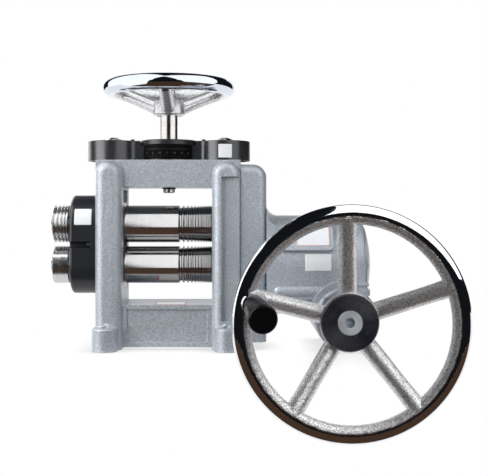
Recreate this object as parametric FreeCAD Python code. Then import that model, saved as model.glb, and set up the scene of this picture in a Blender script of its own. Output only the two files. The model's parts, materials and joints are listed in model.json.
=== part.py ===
import FreeCAD
import Part
import math
import os

# Jewellers rolling mill, in millimetres.  X runs along the rolls, Y to the back, Z up.
# The origin is the middle of the four foot holes, on the bench.

V = FreeCAD.Vector
ALONG_X = V(1, 0, 0)
ALONG_Y = V(0, 1, 0)
ALONG_Z = V(0, 0, 1)

# ---- driving dimensions ----------------------------------------------------------

# clearances
seat = 0.02                 # between pieces that are fixed to each other
running = 0.05              # radial, shaft in its bush
sliding = 0.1               # each side of a sliding block
free = 0.5                  # between things that pass without touching
disc_gap = 3.5              # round the dial in the gear case

# rolls
roll_length = 130
roll_radius = 28
roll_edge = 1
lower_axis_z = 123
roll_gap = 5                # between the rolls at rest
lift_up = 1.5               # how far the upper roll goes from rest
lift_down = roll_gap - 0.1
journal_radius = 16
journal_length = 40
groove_count = 11
groove_first = 7.1          # width of the largest groove
groove_shrink = 0.905       # each groove is this share of the one before
groove_depth_share = 0.42   # depth over width of a groove
groove_land_share = 0.06
groove_floor_share = 0.07
upper_axis_z = lower_axis_z + 2 * roll_radius + roll_gap

# frame
post_inner = roll_length / 2 + 1         # from the middle plane to a post
post_width = 39
right_post_width = 42
frame_half_depth = 42
frame_top = 278.5
upper_beam_height = 40
upper_beam_bottom = frame_top - upper_beam_height
base_front = 46
base_back = 60
lower_beam_top = 66
base_bottom = 4             # the base clears the bench between the feet
base_wall = 12
base_inset = 2              # the base's ends lie this far inside the posts
panel_depth = 2
panel_margin = 7
rib_bulge = 14
rib_top = frame_top - 1.5
rib_round = 13
flat_panel_bottom = 42      # the flat on the right rib
flat_panel_top = frame_top - 25.5
flat_panel_depth = 8
flat_panel_start = 7        # from the rib's middle, towards the roll opening
foot_x = post_inner + 22.5
foot_y = 62
foot_radius = 18.5
foot_height = 34
foot_edge = 3
foot_root = 7               # radius of the hollow where a rib runs out onto its foot
foot_neck = 10              # radius of the flare above that hollow
foot_hole_radius = 5.5
right_face = post_inner + right_post_width
left_face = -post_inner - post_width

# bearing blocks in the posts
bush_radius = 20
block_wall = 5              # of a bearing block beside its bush
window_half_depth = bush_radius + block_wall
window_bottom = lower_axis_z - bush_radius - 15
window_top = upper_beam_bottom - 3.5
chock_inner = post_inner + 0.5
chock_width = 38
chock_edge = 2
lower_chock_top = lower_axis_z + bush_radius + 2.6
upper_chock_bottom = upper_axis_z - bush_radius - 3
upper_chock_top = upper_axis_z + bush_radius + 12
spring_x = chock_inner + 7
spring_y = bush_radius - 3
spring_radius = 3.2
spring_wire = 0.6
spring_turns = 7
spring_end = 0.3
pocket_depth = 7.5
pocket_radius = 4.3

# screwdown train under the gear case
screw_x = post_inner + 18
spindle_teeth = 24
idler_teeth = 15
screw_teeth = 30
module_top = 2 * screw_x / (spindle_teeth + 2 * idler_teeth + screw_teeth)
top_tooth_thickness = 1.5 * module_top
screw_gear_bottom = frame_top + 9.5
screw_gear_face = 9
idler_bottom = frame_top + 3
idler_face = 18.5
idler_pin_radius = 5
idler_pin_sink = 16
idler_pin_flange = 8
spindle_gear_bottom = frame_top + 3.5
spindle_gear_face = 17
spindle_gear_seat = 11
screw_radius = 12
screw_bottom = upper_chock_top + 3
screw_seat_radius = 10
screw_stub = 7              # how far a screw stands up through its gear
nut_radius = 16
nut_flange_radius = 20
nut_flange = 6
pad_radius = 13
pad_sink = 2
dome_radius = 15
dome_height = 6.6
idler_x = module_top * (spindle_teeth + idler_teeth) / 2

# gear case, dial and spindle
case_height = 29.5
case_wall = 4.5
lobe_cavity = module_top * (screw_teeth / 2 + 1) + 1.5
idler_cavity = module_top * (idler_teeth / 2 + 1) + 1.3
drum_cavity = module_top * (spindle_teeth / 2 + 1) + 4
lobe_radius = lobe_cavity + case_wall
web_half_depth = idler_cavity + 3.2
drum_radius = drum_cavity + 11.5
drum_height = 22
neck_round = 12
case_edge = 1.2
case_screw_x = screw_x - 31
case_screw_y = web_half_depth - 2.5
case_screw_radius = 2
case_screw_head = 3.0
case_screw_height = 2.2
case_screw_sink = 14
band_thickness = 1.2
dial_radius = 43
dial_thickness = 8
dial_bottom = frame_top + 22.5
spindle_radius = 13
spindle_journal = 8.9
spindle_end = 8             # how far the spindle stands out under the upper beam
spindle_bush_radius = 13.5
spindle_bush_flange = 17
hub_bottom = frame_top + 69.5
hub_seat = 10
clip_radius = 10.5
clip_thickness = 1.8
clip_groove = 1.0
case_top = frame_top + case_height

# top handwheel
top_wheel_radius = 99.4
top_rim_section = 11.8
top_rim_z = hub_bottom + 40
top_hub_radius = 24
top_hub_height = 22
top_spoke_root = 12
top_spoke_waist = 10
top_spoke_end = 11
hub_stud_radius = 7
hub_nut_radius = 13
hub_nut_height = 16

# roll coupling gears and their guard
coupling_teeth = 12
coupling_tip = roll_radius + 5.2
coupling_root = roll_radius - 5.8
coupling_thickness = math.pi * roll_radius / coupling_teeth - 0.53
coupling_face = 26
coupling_offset = 2.8       # from the guard's mouth to the gears
coupling_seat = 14.5
guard_length = 39
guard_wall = 5
guard_room = 4.8            # between the gears' tips and the guard's wall
guard_radius = coupling_tip + guard_room + guard_wall
guard_edge = 4.9
guard_waist = 22
guard_channel = 5           # half height of the channel for each long screw
guard_screw_y = guard_radius - 5.5
guard_screw_radius = 3
guard_screw_head = 4.6
guard_screw_sink = 20
channel_depth = 32
guard_inner = -left_face + 0.2
guard_outer = guard_inner + guard_length
guard_screw_z = (lower_axis_z + upper_axis_z) / 2

# extension rolls
extension_start = guard_outer + 3.8
extension_length = 24
extension_seat = 12
half_round_grooves = (5.2, 4.4, 3.6, 2.8)
half_round_land = 1.2
end_screw_head = 13.2
end_screw_dome = 5.4
end_screw_radius = 5
end_tap = 18
shaft_left = -(extension_start + extension_length - 1)
gear_seat_end = guard_outer - 9.5

# gearbox
adapter_length = 38
adapter_left = right_face + seat
adapter_right = right_face + adapter_length
adapter_bottom = 11
adapter_top = frame_top - 6.5
adapter_half_depth = 46
adapter_round = 20
adapter_edge = 12
adapter_wall = 10
adapter_bolt_z = (adapter_bottom + 17, adapter_top - 32)
adapter_bolt_y = window_half_depth + 1
adapter_bolt_radius = 4
adapter_bolt_head = 6.5
adapter_bolt_sink = 18
adapter_recess = 9
housing_left = adapter_right + seat
drum_box_radius = 74
gearbox_length = 142
gearbox_end = adapter_right + gearbox_length
flange_thickness = 9
flare = 18
housing_bolt_circle = 66
housing_bolt_radius = 3
housing_bolt_head = 5
housing_bolt_angles = (62, 118, 205, 335)
housing_bolt_sink = 9
worm_module = 4
worm_starts = 5
wheel_teeth = 23
worm_radius = 28
wheel_x = gearbox_end - 29.5
wheel_face = 18
wheel_hub = 6
worm_length = 84
worm_addendum = 4
tooth_play = 0.45           # off each side of a worm thread
wheel_clearance = 1
wheel_room_left = wheel_x - 22.5
tunnel_radius = 45
tunnel_half = 84
tunnel_bore = 32.5
boss_radius = 54            # of the thicker root where the tunnel meets the drum
boss_half = 81
boss_rise = 12              # from the worm's axis up to the thicker root
sump_bottom = 74
sump_rib = 3                # how far the ribs stand out from the drum
sump_rib_radius = 11
sump_rib_z = 87
sump_lip_left = wheel_x + 4
sump_lip_end = gearbox_end + 5.8
sump_lip_bottom = 81
sump_lip_top = 91.5
sump_lip_edge = 2.5
ledge_end = gearbox_end + 4.4
ledge_bottom = 94.5
ledge_top = 99.5
ledge_edge = 1.2
pad_tilt = 30               # degrees back from upright
pad_face = 78               # from the roll's axis to the label pad's face
pad_low = -17.5
pad_high = 24
pad_corner = 7
label_pad_left = adapter_right + 18
label_pad_right = adapter_right + 96
cover_radius = 58
cover_rim = 4.3
cover_dome = 9.1
cover_bolt_radius = 2
cover_bolt_head = 3.4
cover_bolt_height = 2.2
cover_bolt_inset = 4.1      # from the cover's edge to its screws
cover_bolt_recess = 2.6
cover_bolt_sink = 8
shaft_seat = 14
shaft_clearance = 3
output_journal = 12
output_bush_radius = 16
output_start = gearbox_end - 12
output_end = gearbox_end + 3
worm_shaft_radius = 17.5
bearing_width = 14
bearing_cover = 8           # how far the caps reach in to their bearings
cap_radius = 44.5
cap_thickness = 8
cap_bolt_radius = 2.5
cap_bolt_head = 4
cap_bolt_sink = 10
cap_bolt_circle = 39
plug_radius = 5
plug_hex = 7
plug_head = 1.5
plug_gap = 0.1
plug_x = -8
plug_y = -66
wheel_radius = worm_module * wheel_teeth / 2
worm_axis_z = lower_axis_z - wheel_radius - worm_radius
wheel_room = wheel_radius + worm_addendum + wheel_clearance
bearing_inner_y = tunnel_half - bearing_cover - bearing_width

# crank wheel
crank_radius = 162.6
crank_rim_width = 27
crank_rim_depth = 23
crank_rim_y = -160
crank_hub_radius = 41.5
crank_hub_front = -134
crank_hub_back = -96
spoke_count = 5
spoke_first_angle = 92.5
spoke_root_y = -110
spoke_root = 13.5
spoke_waist = 12.8
spoke_end = 13.3
hub_disc_radius = 39.6
hub_disc_thickness = 7
shaft_hole_radius = 7
handle_reach = 135.7
handle_angle = 168.2
handle_lean = 10            # degrees between the handle and the wheel's axis
handle_lean_towards = -44   # the way it leans in the wheel's plane, from the X axis
handle_boss_radius = 20
boss_height = 12
tap_depth = 14
grip_start = -178
grip_end = -263
grip_radius = 19.2
handle_pin_radius = 6
handle_pin_collar = 11
handle_pin_head = 9
key_half_width = 4
key_depth = 4
key_rise = 3
boss_front = crank_rim_y - boss_height


# ---- making shapes ---------------------------------------------------------------

def block(x0, x1, y0, y1, z0, z1):
    return Part.makeBox(x1 - x0, y1 - y0, z1 - z0, V(x0, y0, z0))


def rod(radius, start, length, axis):
    return Part.makeCylinder(radius, length, start, axis)


def side_of(axis):
    """A direction square to the axis, in which a turned profile's radius is laid out."""
    return ALONG_Y if axis.cross(ALONG_Y).Length > 0.5 else ALONG_Z


def turned(profile, centre, axis):
    """A turned piece: profile lists (distance along the axis, radius) all the way round."""
    out = side_of(axis)
    points = [centre + axis * along + out * radius for along, radius in profile]
    face = Part.Face(Part.makePolygon(points + [points[0]]))
    return face.revolve(centre, axis, 360)


def shaft(steps, centre, axis):
    """A solid turned piece from its (distance, radius) steps; its ends are closed."""
    return turned([(steps[0][0], 0)] + steps + [(steps[-1][0], 0)], centre, axis)


def ring(outer, inner, start, length, axis):
    return rod(outer, start, length, axis).cut(rod(inner, start - axis, length + 2, axis))


def fused(shapes):
    whole = shapes[0]
    for shape in shapes[1:]:
        whole = whole.fuse(shape)
    return whole.removeSplitter()


def turned_about(shape, centre, axis, degrees):
    copy = shape.copy()
    copy.rotate(centre, axis, degrees)
    return copy


def moved(shape, offset):
    copy = shape.copy()
    copy.translate(offset)
    return copy


def rounded(shape, radius, wanted):
    """Fillets the edges that wanted() picks."""
    return shape.makeFillet(radius, [edge for edge in shape.Edges if wanted(edge)])


def mid(edge):
    return edge.valueAt((edge.FirstParameter + edge.LastParameter) / 2)


def direction(edge):
    if not isinstance(edge.Curve, Part.Line):
        return V(0, 0, 0)
    return edge.Curve.Direction


def runs_along(edge, axis):
    return direction(edge).cross(axis).Length < 1e-6 and direction(edge).Length > 0.5


def polar(radius, angle):
    return V(radius * math.cos(angle), radius * math.sin(angle), 0)


def toothed_face(teeth, root_radius, flank_radii, half_angle, phase):
    """The end face of a gear about Z.  half_angle(r) is half a tooth's angle at radius r."""
    step = 2 * math.pi / teeth
    tip = flank_radii[-1]
    start = flank_radii[0]
    edges = []
    for tooth in range(teeth):
        middle = phase + tooth * step
        rising = [polar(r, middle - half_angle(r)) for r in flank_radii]
        falling = [polar(r, middle + half_angle(r)) for r in reversed(flank_radii)]
        root_in = polar(root_radius, middle - half_angle(start))
        root_out = polar(root_radius, middle + half_angle(start))
        next_root = polar(root_radius, middle + step - half_angle(start))
        flank_up = Part.BSplineCurve()
        flank_up.interpolate(rising)
        flank_down = Part.BSplineCurve()
        flank_down.interpolate(falling)
        if start > root_radius + 0.01:
            edges.append(Part.makeLine(root_in, rising[0]))
        edges.append(flank_up.toShape())
        edges.append(Part.Arc(rising[-1], polar(tip, middle), falling[0]).toShape())
        edges.append(flank_down.toShape())
        if start > root_radius + 0.01:
            edges.append(Part.makeLine(falling[-1], root_out))
        root_middle = polar(root_radius, middle + step / 2)
        edges.append(Part.Arc(root_out, root_middle, next_root).toShape())
    return Part.Face(Part.Wire(edges))


def involute(angle):
    return math.tan(angle) - angle


def gear_face(teeth, pitch_radius, tip, root, thickness, phase_degrees):
    """An involute gear's end face with a 20 degree pressure angle."""
    pressure = math.radians(20)
    base = pitch_radius * math.cos(pressure)
    start = max(base, root)
    flank_radii = [start + (tip - start) * share for share in (0, 0.15, 0.4, 0.7, 1)]

    def half_angle(radius):
        local = math.acos(min(1, base / radius))
        return thickness / (2 * pitch_radius) + involute(pressure) - involute(local)

    return toothed_face(teeth, root, flank_radii, half_angle, math.radians(phase_degrees))


def screwed_prism(face, height, lead):
    """Sweeps a face up Z from the XY plane while it turns once in each right-hand lead."""
    path = Part.makeHelix(lead, height, 10, 0, False)
    sweep = Part.BRepOffsetAPI.MakePipeShell(path)
    sweep.setFrenetMode(True)
    sweep.add(face.OuterWire, False, False)
    sweep.build()
    sides = sweep.shape().Faces
    end_face = Part.Face(sweep.lastShape())
    return Part.makeSolid(Part.makeShell(sides + [end_face, face]))


def onto_x(shape):
    """Turns a piece made about Z to lie about X."""
    return turned_about(shape, V(0, 0, 0), ALONG_Y, 90)


def sides_x(make):
    """The left and the right copy of a piece; make(side) takes -1 or 1."""
    return Part.makeCompound([make(-1), make(1)])


def save(name, shape):
    shape.exportStep("parts/" + name + ".step")


# ---- frame -----------------------------------------------------------------------

def rib(centre_x, half_width, front):
    """A half-round rib with an arched top on a post; front is -1 or 1."""
    face_y = front * frame_half_depth
    arch_z = rib_top - half_width
    corners = [V(centre_x - half_width, face_y, 0), V(centre_x - half_width, face_y, arch_z),
               V(centre_x, face_y, rib_top), V(centre_x + half_width, face_y, arch_z),
               V(centre_x + half_width, face_y, 0)]
    outline = [Part.makeLine(corners[0], corners[1]),
               Part.Arc(corners[1], corners[2], corners[3]).toShape(),
               Part.makeLine(corners[3], corners[4]),
               Part.makeLine(corners[4], corners[0])]
    solid = Part.Face(Part.Wire(outline)).extrude(V(0, front * rib_bulge, 0))
    outer_y = face_y + front * rib_bulge

    def outer_edge(edge):
        on_front = abs(mid(edge).y - outer_y) < 0.01 and abs(edge.Vertexes[0].Point.y - outer_y) < 0.01
        return on_front and mid(edge).z > 1

    return rounded(solid, rib_round, outer_edge)


def foot(x, y):
    """A round-nosed foot that reaches out from under a post, with a raised root."""
    front = -1 if y < 0 else 1
    nose = rod(foot_radius, V(x, y, 0), foot_height, ALONG_Z)
    inner_y = front * (frame_half_depth - 10)
    tail = block(x - foot_radius, x + foot_radius, min(y, inner_y), max(y, inner_y), 0, foot_height)
    solid = fused([nose, tail])

    def top_edge(edge):
        on_top = all(abs(vertex.Point.z - foot_height) < 0.01 for vertex in edge.Vertexes)
        return on_top and abs(mid(edge).y) > abs(inner_y) + 1

    return rounded(solid, foot_edge, top_edge)


def foot_flare(centre_x, front):
    """The hollow flare with which a rib spreads onto its foot."""
    centre = V(centre_x, front * (frame_half_depth + rib_bulge - foot_neck), foot_height)
    wide = foot_neck + foot_root
    near = wide - foot_root * math.sqrt(0.5)
    rise = foot_root * (1 - math.sqrt(0.5))

    def at(radius, up):
        return centre + ALONG_X * radius + ALONG_Z * up

    edges = [Part.makeLine(at(0, -1), at(wide, -1)),
             Part.makeLine(at(wide, -1), at(wide, 0)),
             Part.Arc(at(wide, 0), at(near, rise), at(foot_neck, foot_root)).toShape(),
             Part.makeLine(at(foot_neck, foot_root), at(0, foot_root)),
             Part.makeLine(at(0, foot_root), at(0, -1))]
    return Part.Face(Part.Wire(edges)).revolve(centre, ALONG_Z, 360)


def frame():
    depth = frame_half_depth
    posts = [block(left_face, -post_inner, -depth, depth, 0, frame_top),
             block(post_inner, right_face, -depth, depth, 0, frame_top)]
    beam = block(-post_inner, post_inner, -depth, depth, upper_beam_bottom, frame_top)
    base = block(left_face + base_inset, right_face - base_inset, -base_front, base_back,
                 base_bottom, lower_beam_top)
    ribs = []
    for front in (-1, 1):
        for centre_x, width in ((left_face + post_width / 2, post_width),
                                (right_face - right_post_width / 2, right_post_width)):
            ribs.append(rib(centre_x, width / 2, front))
            ribs.append(foot_flare(centre_x, front))
    feet = [foot(side * foot_x, front * foot_y) for side in (-1, 1) for front in (-1, 1)]
    body = fused(posts + [beam, base] + ribs + feet)
    return body.cut(fused(frame_openings() + frame_holes()))


def frame_openings():
    """The bearing windows, the flat on the right rib, and the base's panels and hollow."""
    beyond = 100
    cuts = []
    for side in (-1, 1):
        inner = side * (post_inner - 1)
        outer = side * (post_inner + beyond)
        cuts.append(block(min(inner, outer), max(inner, outer), -window_half_depth,
                          window_half_depth, window_bottom, window_top))
    flat_left = right_face - right_post_width / 2 - flat_panel_start
    flat_y = -frame_half_depth - flat_panel_depth
    cuts.append(block(flat_left, right_face + 1, flat_y - beyond, flat_y,
                      flat_panel_bottom, flat_panel_top))
    half = post_inner - panel_margin
    low = base_bottom + panel_margin
    high = lower_beam_top - panel_margin
    cuts.append(block(-half, half, -base_front - 1, -base_front + panel_depth, low, high))
    cuts.append(block(-half, half, base_back - panel_depth, base_back + 1, low, high))
    cuts.append(block(-post_inner + base_wall, post_inner - base_wall, -base_front + base_wall,
                      base_back - base_wall, 0, lower_beam_top - base_wall))
    return cuts


def frame_holes():
    """Every drilled hole of the frame, and the seats of the nuts and the spindle's bush."""
    cuts = [rod(spindle_bush_radius + seat, V(0, 0, upper_beam_bottom - 1),
                frame_top - upper_beam_bottom + 2, ALONG_Z)]
    for side in (-1, 1):
        cuts.append(rod(nut_radius + seat, V(side * screw_x, 0, window_top - 1),
                        frame_top - window_top + 2, ALONG_Z))
        cuts.append(rod(nut_flange_radius + seat, V(side * screw_x, 0, frame_top - nut_flange),
                        nut_flange + 1, ALONG_Z))
        cuts.append(rod(idler_pin_radius + seat, V(side * idler_x, 0, frame_top - idler_pin_sink),
                        idler_pin_sink + 1, ALONG_Z))
        for front in (-1, 1):
            cuts.append(rod(foot_hole_radius, V(side * foot_x, front * foot_y, -1),
                            foot_height + foot_root + 2, ALONG_Z))
            hole = V(side * case_screw_x, front * case_screw_y, frame_top - case_screw_sink)
            cuts.append(rod(case_screw_radius + seat, hole, case_screw_sink + 1, ALONG_Z))
    for front in (-1, 1):
        cuts.append(rod(guard_screw_radius + seat, V(left_face - 1, front * guard_screw_y, guard_screw_z),
                        guard_screw_sink + 1, ALONG_X))
        for bolt_z in adapter_bolt_z:
            hole = V(right_face - adapter_bolt_sink, front * adapter_bolt_y, bolt_z)
            cuts.append(rod(adapter_bolt_radius + seat, hole, adapter_bolt_sink + 1, ALONG_X))
    return cuts


# ---- bearing blocks, bushes and springs ---------------------------------------------

def chock(side, axis_z, bottom, top, gap, pocket_up):
    """A bearing block in a post's window, with pockets for the two lift springs."""
    inner = side * chock_inner
    outer = side * (chock_inner + chock_width)
    half = window_half_depth - gap
    body = block(min(inner, outer), max(inner, outer), -half, half, bottom, top)
    body = rounded(body, chock_edge, lambda edge: runs_along(edge, ALONG_X))
    cuts = [rod(bush_radius + seat, V(min(inner, outer) - 1, 0, axis_z), chock_width + 2, ALONG_X)]
    pocket_z = top - pocket_depth if pocket_up else bottom - 1
    for front in (-1, 1):
        cuts.append(rod(pocket_radius, V(side * spring_x, front * spring_y, pocket_z),
                        pocket_depth + 1, ALONG_Z))
    return body.cut(fused(cuts))


def lower_chocks():
    return sides_x(lambda side: chock(side, lower_axis_z, window_bottom + seat, lower_chock_top,
                                      seat, True))


def upper_chock(side):
    """An upper block, with a counterbore for the thrust pad of its screw."""
    body = chock(side, upper_axis_z, upper_chock_bottom, upper_chock_top, sliding, False)
    pad_hole = rod(pad_radius + seat, V(side * screw_x, 0, upper_chock_top - pad_sink), pad_sink + 1, ALONG_Z)
    return body.cut(pad_hole)


def bushes(axis_z):
    """Plain bronze bushes, one in each block."""
    def one(side):
        start = V(min(side * chock_inner, side * (chock_inner + chock_width)), 0, axis_z)
        return ring(bush_radius, journal_radius + running, start, chock_width, ALONG_X)
    return sides_x(one)


def thrust_pads():
    """Hard pads between the screws' ends and the upper blocks."""
    bottom = upper_chock_top - pad_sink + seat
    height = screw_bottom - seat - bottom
    return sides_x(lambda side: rod(pad_radius, V(side * screw_x, 0, bottom), height, ALONG_Z))


def lift_springs():
    """Four coil springs that hold the upper blocks up against their screws."""
    bottom = lower_chock_top - pocket_depth + spring_wire + spring_end
    height = upper_chock_bottom + pocket_depth - spring_wire - spring_end - bottom
    path = Part.makeHelix(height / spring_turns, height, spring_radius, 0, False)
    section = Part.Wire(Part.makeCircle(spring_wire, V(spring_radius, 0, 0), ALONG_Y))
    coil = Part.Wire(path).makePipeShell([section], True, True)
    springs = []
    for side in (-1, 1):
        for front in (-1, 1):
            springs.append(moved(coil, V(side * spring_x, front * spring_y, bottom)))
    return Part.makeCompound(springs)


# ---- rolls -----------------------------------------------------------------------

def groove_profile():
    """The V grooves along the right end of a roll, as (x, radius) points."""
    widths = [groove_first * groove_shrink ** i for i in range(groove_count)]
    x = roll_length / 2 - sum(widths)
    points = []
    for width in widths:
        land = width * groove_land_share
        depth = width * groove_depth_share
        flat = width * groove_floor_share
        points.append((x + land, roll_radius))
        points.append((x + width / 2 - flat, roll_radius - depth))
        points.append((x + width / 2 + flat, roll_radius - depth))
        points.append((x + width - land, roll_radius))
        x += width
    return points


def roll_profile(right_end):
    """A roll's steps from the left end of its shaft to the working part's right end."""
    half = roll_length / 2
    steps = [(shaft_left, extension_seat), (-gear_seat_end, extension_seat),
             (-gear_seat_end, coupling_seat), (-half - journal_length, coupling_seat),
             (-half - journal_length, journal_radius), (-half, journal_radius),
             (-half, roll_radius - roll_edge), (-half + roll_edge, roll_radius)]
    steps += groove_profile()
    steps += [(half, roll_radius - roll_edge), (half, journal_radius)]
    return steps + right_end


def upper_roll():
    end = roll_length / 2 + journal_length - 1
    steps = roll_profile([(end - 1, journal_radius), (end, journal_radius - 1)])
    return roll_with_tap(steps, upper_axis_z)


def lower_roll():
    wheel_left = wheel_x - wheel_face / 2 - wheel_hub
    steps = roll_profile([(wheel_left, journal_radius), (wheel_left, shaft_seat),
                          (output_start, shaft_seat), (output_start, output_journal),
                          (output_end - 1, output_journal), (output_end, output_journal - 1)])
    body = roll_with_tap(steps, lower_axis_z)
    return body.cut(wheel_key(seat))


def roll_with_tap(steps, axis_z):
    """The turned roll with the threaded hole for its end screw."""
    body = shaft(steps, V(0, 0, axis_z), ALONG_X)
    return body.cut(rod(end_screw_radius + seat, V(shaft_left - 1, 0, axis_z), end_tap + 1, ALONG_X))


def coupling_gear(axis_z, phase):
    """A long-toothed gear that stays in mesh while the upper roll rises and falls."""
    face = gear_face(coupling_teeth, roll_radius, coupling_tip, coupling_root, coupling_thickness, phase)
    gear = onto_x(face.extrude(V(0, 0, coupling_face)))
    start = -(guard_inner + coupling_offset + coupling_face)
    bore = rod(coupling_seat + seat, V(-1, 0, 0), coupling_face + 2, ALONG_X)
    return moved(gear.cut(bore), V(start, 0, axis_z))


def extension_roll(axis_z, grooves):
    """A short roll outside the guard, with half-round grooves when a list is given."""
    start = -(extension_start + extension_length)
    end = -extension_start
    bore = extension_seat + seat
    body = turned([(start, bore), (start, roll_radius - roll_edge), (start + roll_edge, roll_radius),
                   (end - roll_edge, roll_radius), (end, roll_radius - roll_edge), (end, bore)],
                  V(0, 0, axis_z), ALONG_X)
    lands = half_round_land * (len(grooves) - 1)
    x = (start + end - sum(grooves) - lands) / 2
    for width in grooves:
        cutter = Part.makeTorus(roll_radius, width / 2, V(x + width / 2, 0, axis_z), ALONG_X)
        body = body.cut(cutter)
        x += width + half_round_land
    return body


def end_screw(axis_z):
    """A round-headed screw with a hex socket that clamps an extension roll."""
    face_x = -(extension_start + extension_length)
    head = turned([(face_x, 0), (face_x, end_screw_head), (face_x - 1.5, end_screw_head),
                   (face_x - end_screw_dome + 1.2, end_screw_head - 2.6),
                   (face_x - end_screw_dome, end_screw_head - 5.5), (face_x - end_screw_dome, 0)],
                  V(0, 0, axis_z), ALONG_X)
    stem = rod(end_screw_radius, V(face_x - 1, 0, axis_z), end_tap - 1, ALONG_X)
    socket = hexagon(4, V(face_x - end_screw_dome - 1, 0, axis_z), ALONG_X, 4)
    return fused([head, stem]).cut(socket)


def hexagon(radius, start, axis, length):
    """A hexagonal bar; radius is to its corners."""
    out = side_of(axis)
    across = axis.cross(out)
    points = []
    for corner in range(6):
        angle = math.radians(60 * corner)
        points.append(start + out * (radius * math.cos(angle)) + across * (radius * math.sin(angle)))
    face = Part.Face(Part.makePolygon(points + [points[0]]))
    return face.extrude(axis * length)


# ---- gear guard ---------------------------------------------------------------------

def stadium(low_z, high_z, radius, x0, x1):
    """A bar along X whose section is two circles, one above the other, joined by flat sides."""
    length = x1 - x0
    return fused([rod(radius, V(x0, 0, low_z), length, ALONG_X),
                  rod(radius, V(x0, 0, high_z), length, ALONG_X),
                  block(x0, x1, -radius, radius, low_z, high_z)])


def gear_guard():
    outer_x = -guard_outer
    shell = stadium(lower_axis_z, upper_axis_z, guard_radius, outer_x, -guard_inner)
    shell = rounded(shell, guard_edge, lambda edge: abs(mid(edge).x - outer_x) < 0.01)
    cavity_start = outer_x + guard_wall
    gear_room = coupling_tip + guard_room
    low = upper_axis_z - lift_down
    high = upper_axis_z + lift_up
    shell = shell.cut(fused([
        rod(gear_room, V(cavity_start, 0, lower_axis_z), guard_length, ALONG_X),
        stadium(low, high, gear_room - lift_up, cavity_start, 0),
        block(cavity_start, 0, -guard_waist, guard_waist, lower_axis_z, upper_axis_z)]))
    hole_radius = extension_seat + 3 * free
    shell = shell.cut(rod(hole_radius, V(outer_x - 1, 0, lower_axis_z), guard_length, ALONG_X))
    shell = shell.cut(stadium(low, high, hole_radius, outer_x - 1, cavity_start + 1))
    channel_end = outer_x + channel_depth
    for front in (-1, 1):
        y = front * guard_screw_y
        outside = front * (guard_radius + 1)
        shell = shell.cut(fused([
            rod(guard_channel, V(outer_x - 1, y, guard_screw_z), channel_depth + 1, ALONG_X),
            block(outer_x - 1, channel_end, min(y, outside), max(y, outside),
                  guard_screw_z - guard_channel, guard_screw_z + guard_channel),
            rod(guard_screw_radius + seat, V(outer_x, y, guard_screw_z), guard_length, ALONG_X)]))
    return shell


def guard_screws():
    """Two socket screws that lie in the guard's side channels."""
    head_x = -guard_outer + channel_depth - seat
    reach = left_face - head_x + guard_screw_sink - 1
    screws = []
    for front in (-1, 1):
        start = V(head_x, front * guard_screw_y, guard_screw_z)
        screws.append(socket_screw(start, ALONG_X, guard_screw_head, guard_screw_radius,
                                   2 * guard_screw_radius, reach))
    return Part.makeCompound(screws)


# ---- screwdown train ------------------------------------------------------------------

def top_gear(teeth, bore, bottom, face_width, x, phase):
    pitch = module_top * teeth / 2
    face = gear_face(teeth, pitch, pitch + module_top, pitch - 1.25 * module_top,
                     top_tooth_thickness, phase)
    gear = face.extrude(V(0, 0, face_width)).cut(rod(bore, V(0, 0, -1), face_width + 2, ALONG_Z))
    return moved(gear, V(x, 0, bottom))


def screw_nut(side):
    """A flanged bronze nut let into the top of a post."""
    top = frame_top - seat
    profile = [(window_top, screw_radius + running), (window_top, nut_radius),
               (frame_top - nut_flange, nut_radius), (frame_top - nut_flange, nut_flange_radius),
               (top, nut_flange_radius), (top, screw_radius + running)]
    return turned(profile, V(side * screw_x, 0, 0), ALONG_Z)


def adjusting_screw(side):
    shoulder = screw_gear_bottom
    top = screw_gear_bottom + screw_gear_face + screw_stub
    steps = [(screw_bottom, screw_radius - 2), (screw_bottom + 2, screw_radius), (shoulder, screw_radius),
             (shoulder, screw_seat_radius), (top, screw_seat_radius)]
    return shaft(steps, V(side * screw_x, 0, 0), ALONG_Z)


def dome_cap(side):
    """The polished cap on top of a screw, seen through the gear case's hole."""
    bottom = screw_gear_bottom + screw_gear_face
    inside = bottom + screw_stub + seat
    edge = case_top + 0.4
    top = case_top + dome_height
    bore = screw_seat_radius + seat
    base = turned([(bottom, bore), (bottom, dome_radius), (edge, dome_radius), (edge, 0), (inside, 0),
                   (inside, bore)], V(side * screw_x, 0, 0), ALONG_Z)
    rise = top - edge
    ball = (dome_radius ** 2 + rise ** 2) / (2 * rise)
    crown = Part.makeSphere(ball, V(side * screw_x, 0, top - ball))
    crown = crown.common(rod(dome_radius, V(side * screw_x, 0, edge), rise + 1, ALONG_Z))
    return fused([base, crown])


def idler_pins():
    """Headless pins in the frame, each with a collar that holds its idler up."""
    def one(side):
        steps = [(frame_top - idler_pin_sink, idler_pin_radius), (frame_top, idler_pin_radius),
                 (frame_top, idler_pin_flange), (idler_bottom - 0.3, idler_pin_flange),
                 (idler_bottom - 0.3, idler_pin_radius), (idler_bottom + idler_face - 0.5, idler_pin_radius)]
        return shaft(steps, V(side * idler_x, 0, 0), ALONG_Z)
    return sides_x(one)


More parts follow.
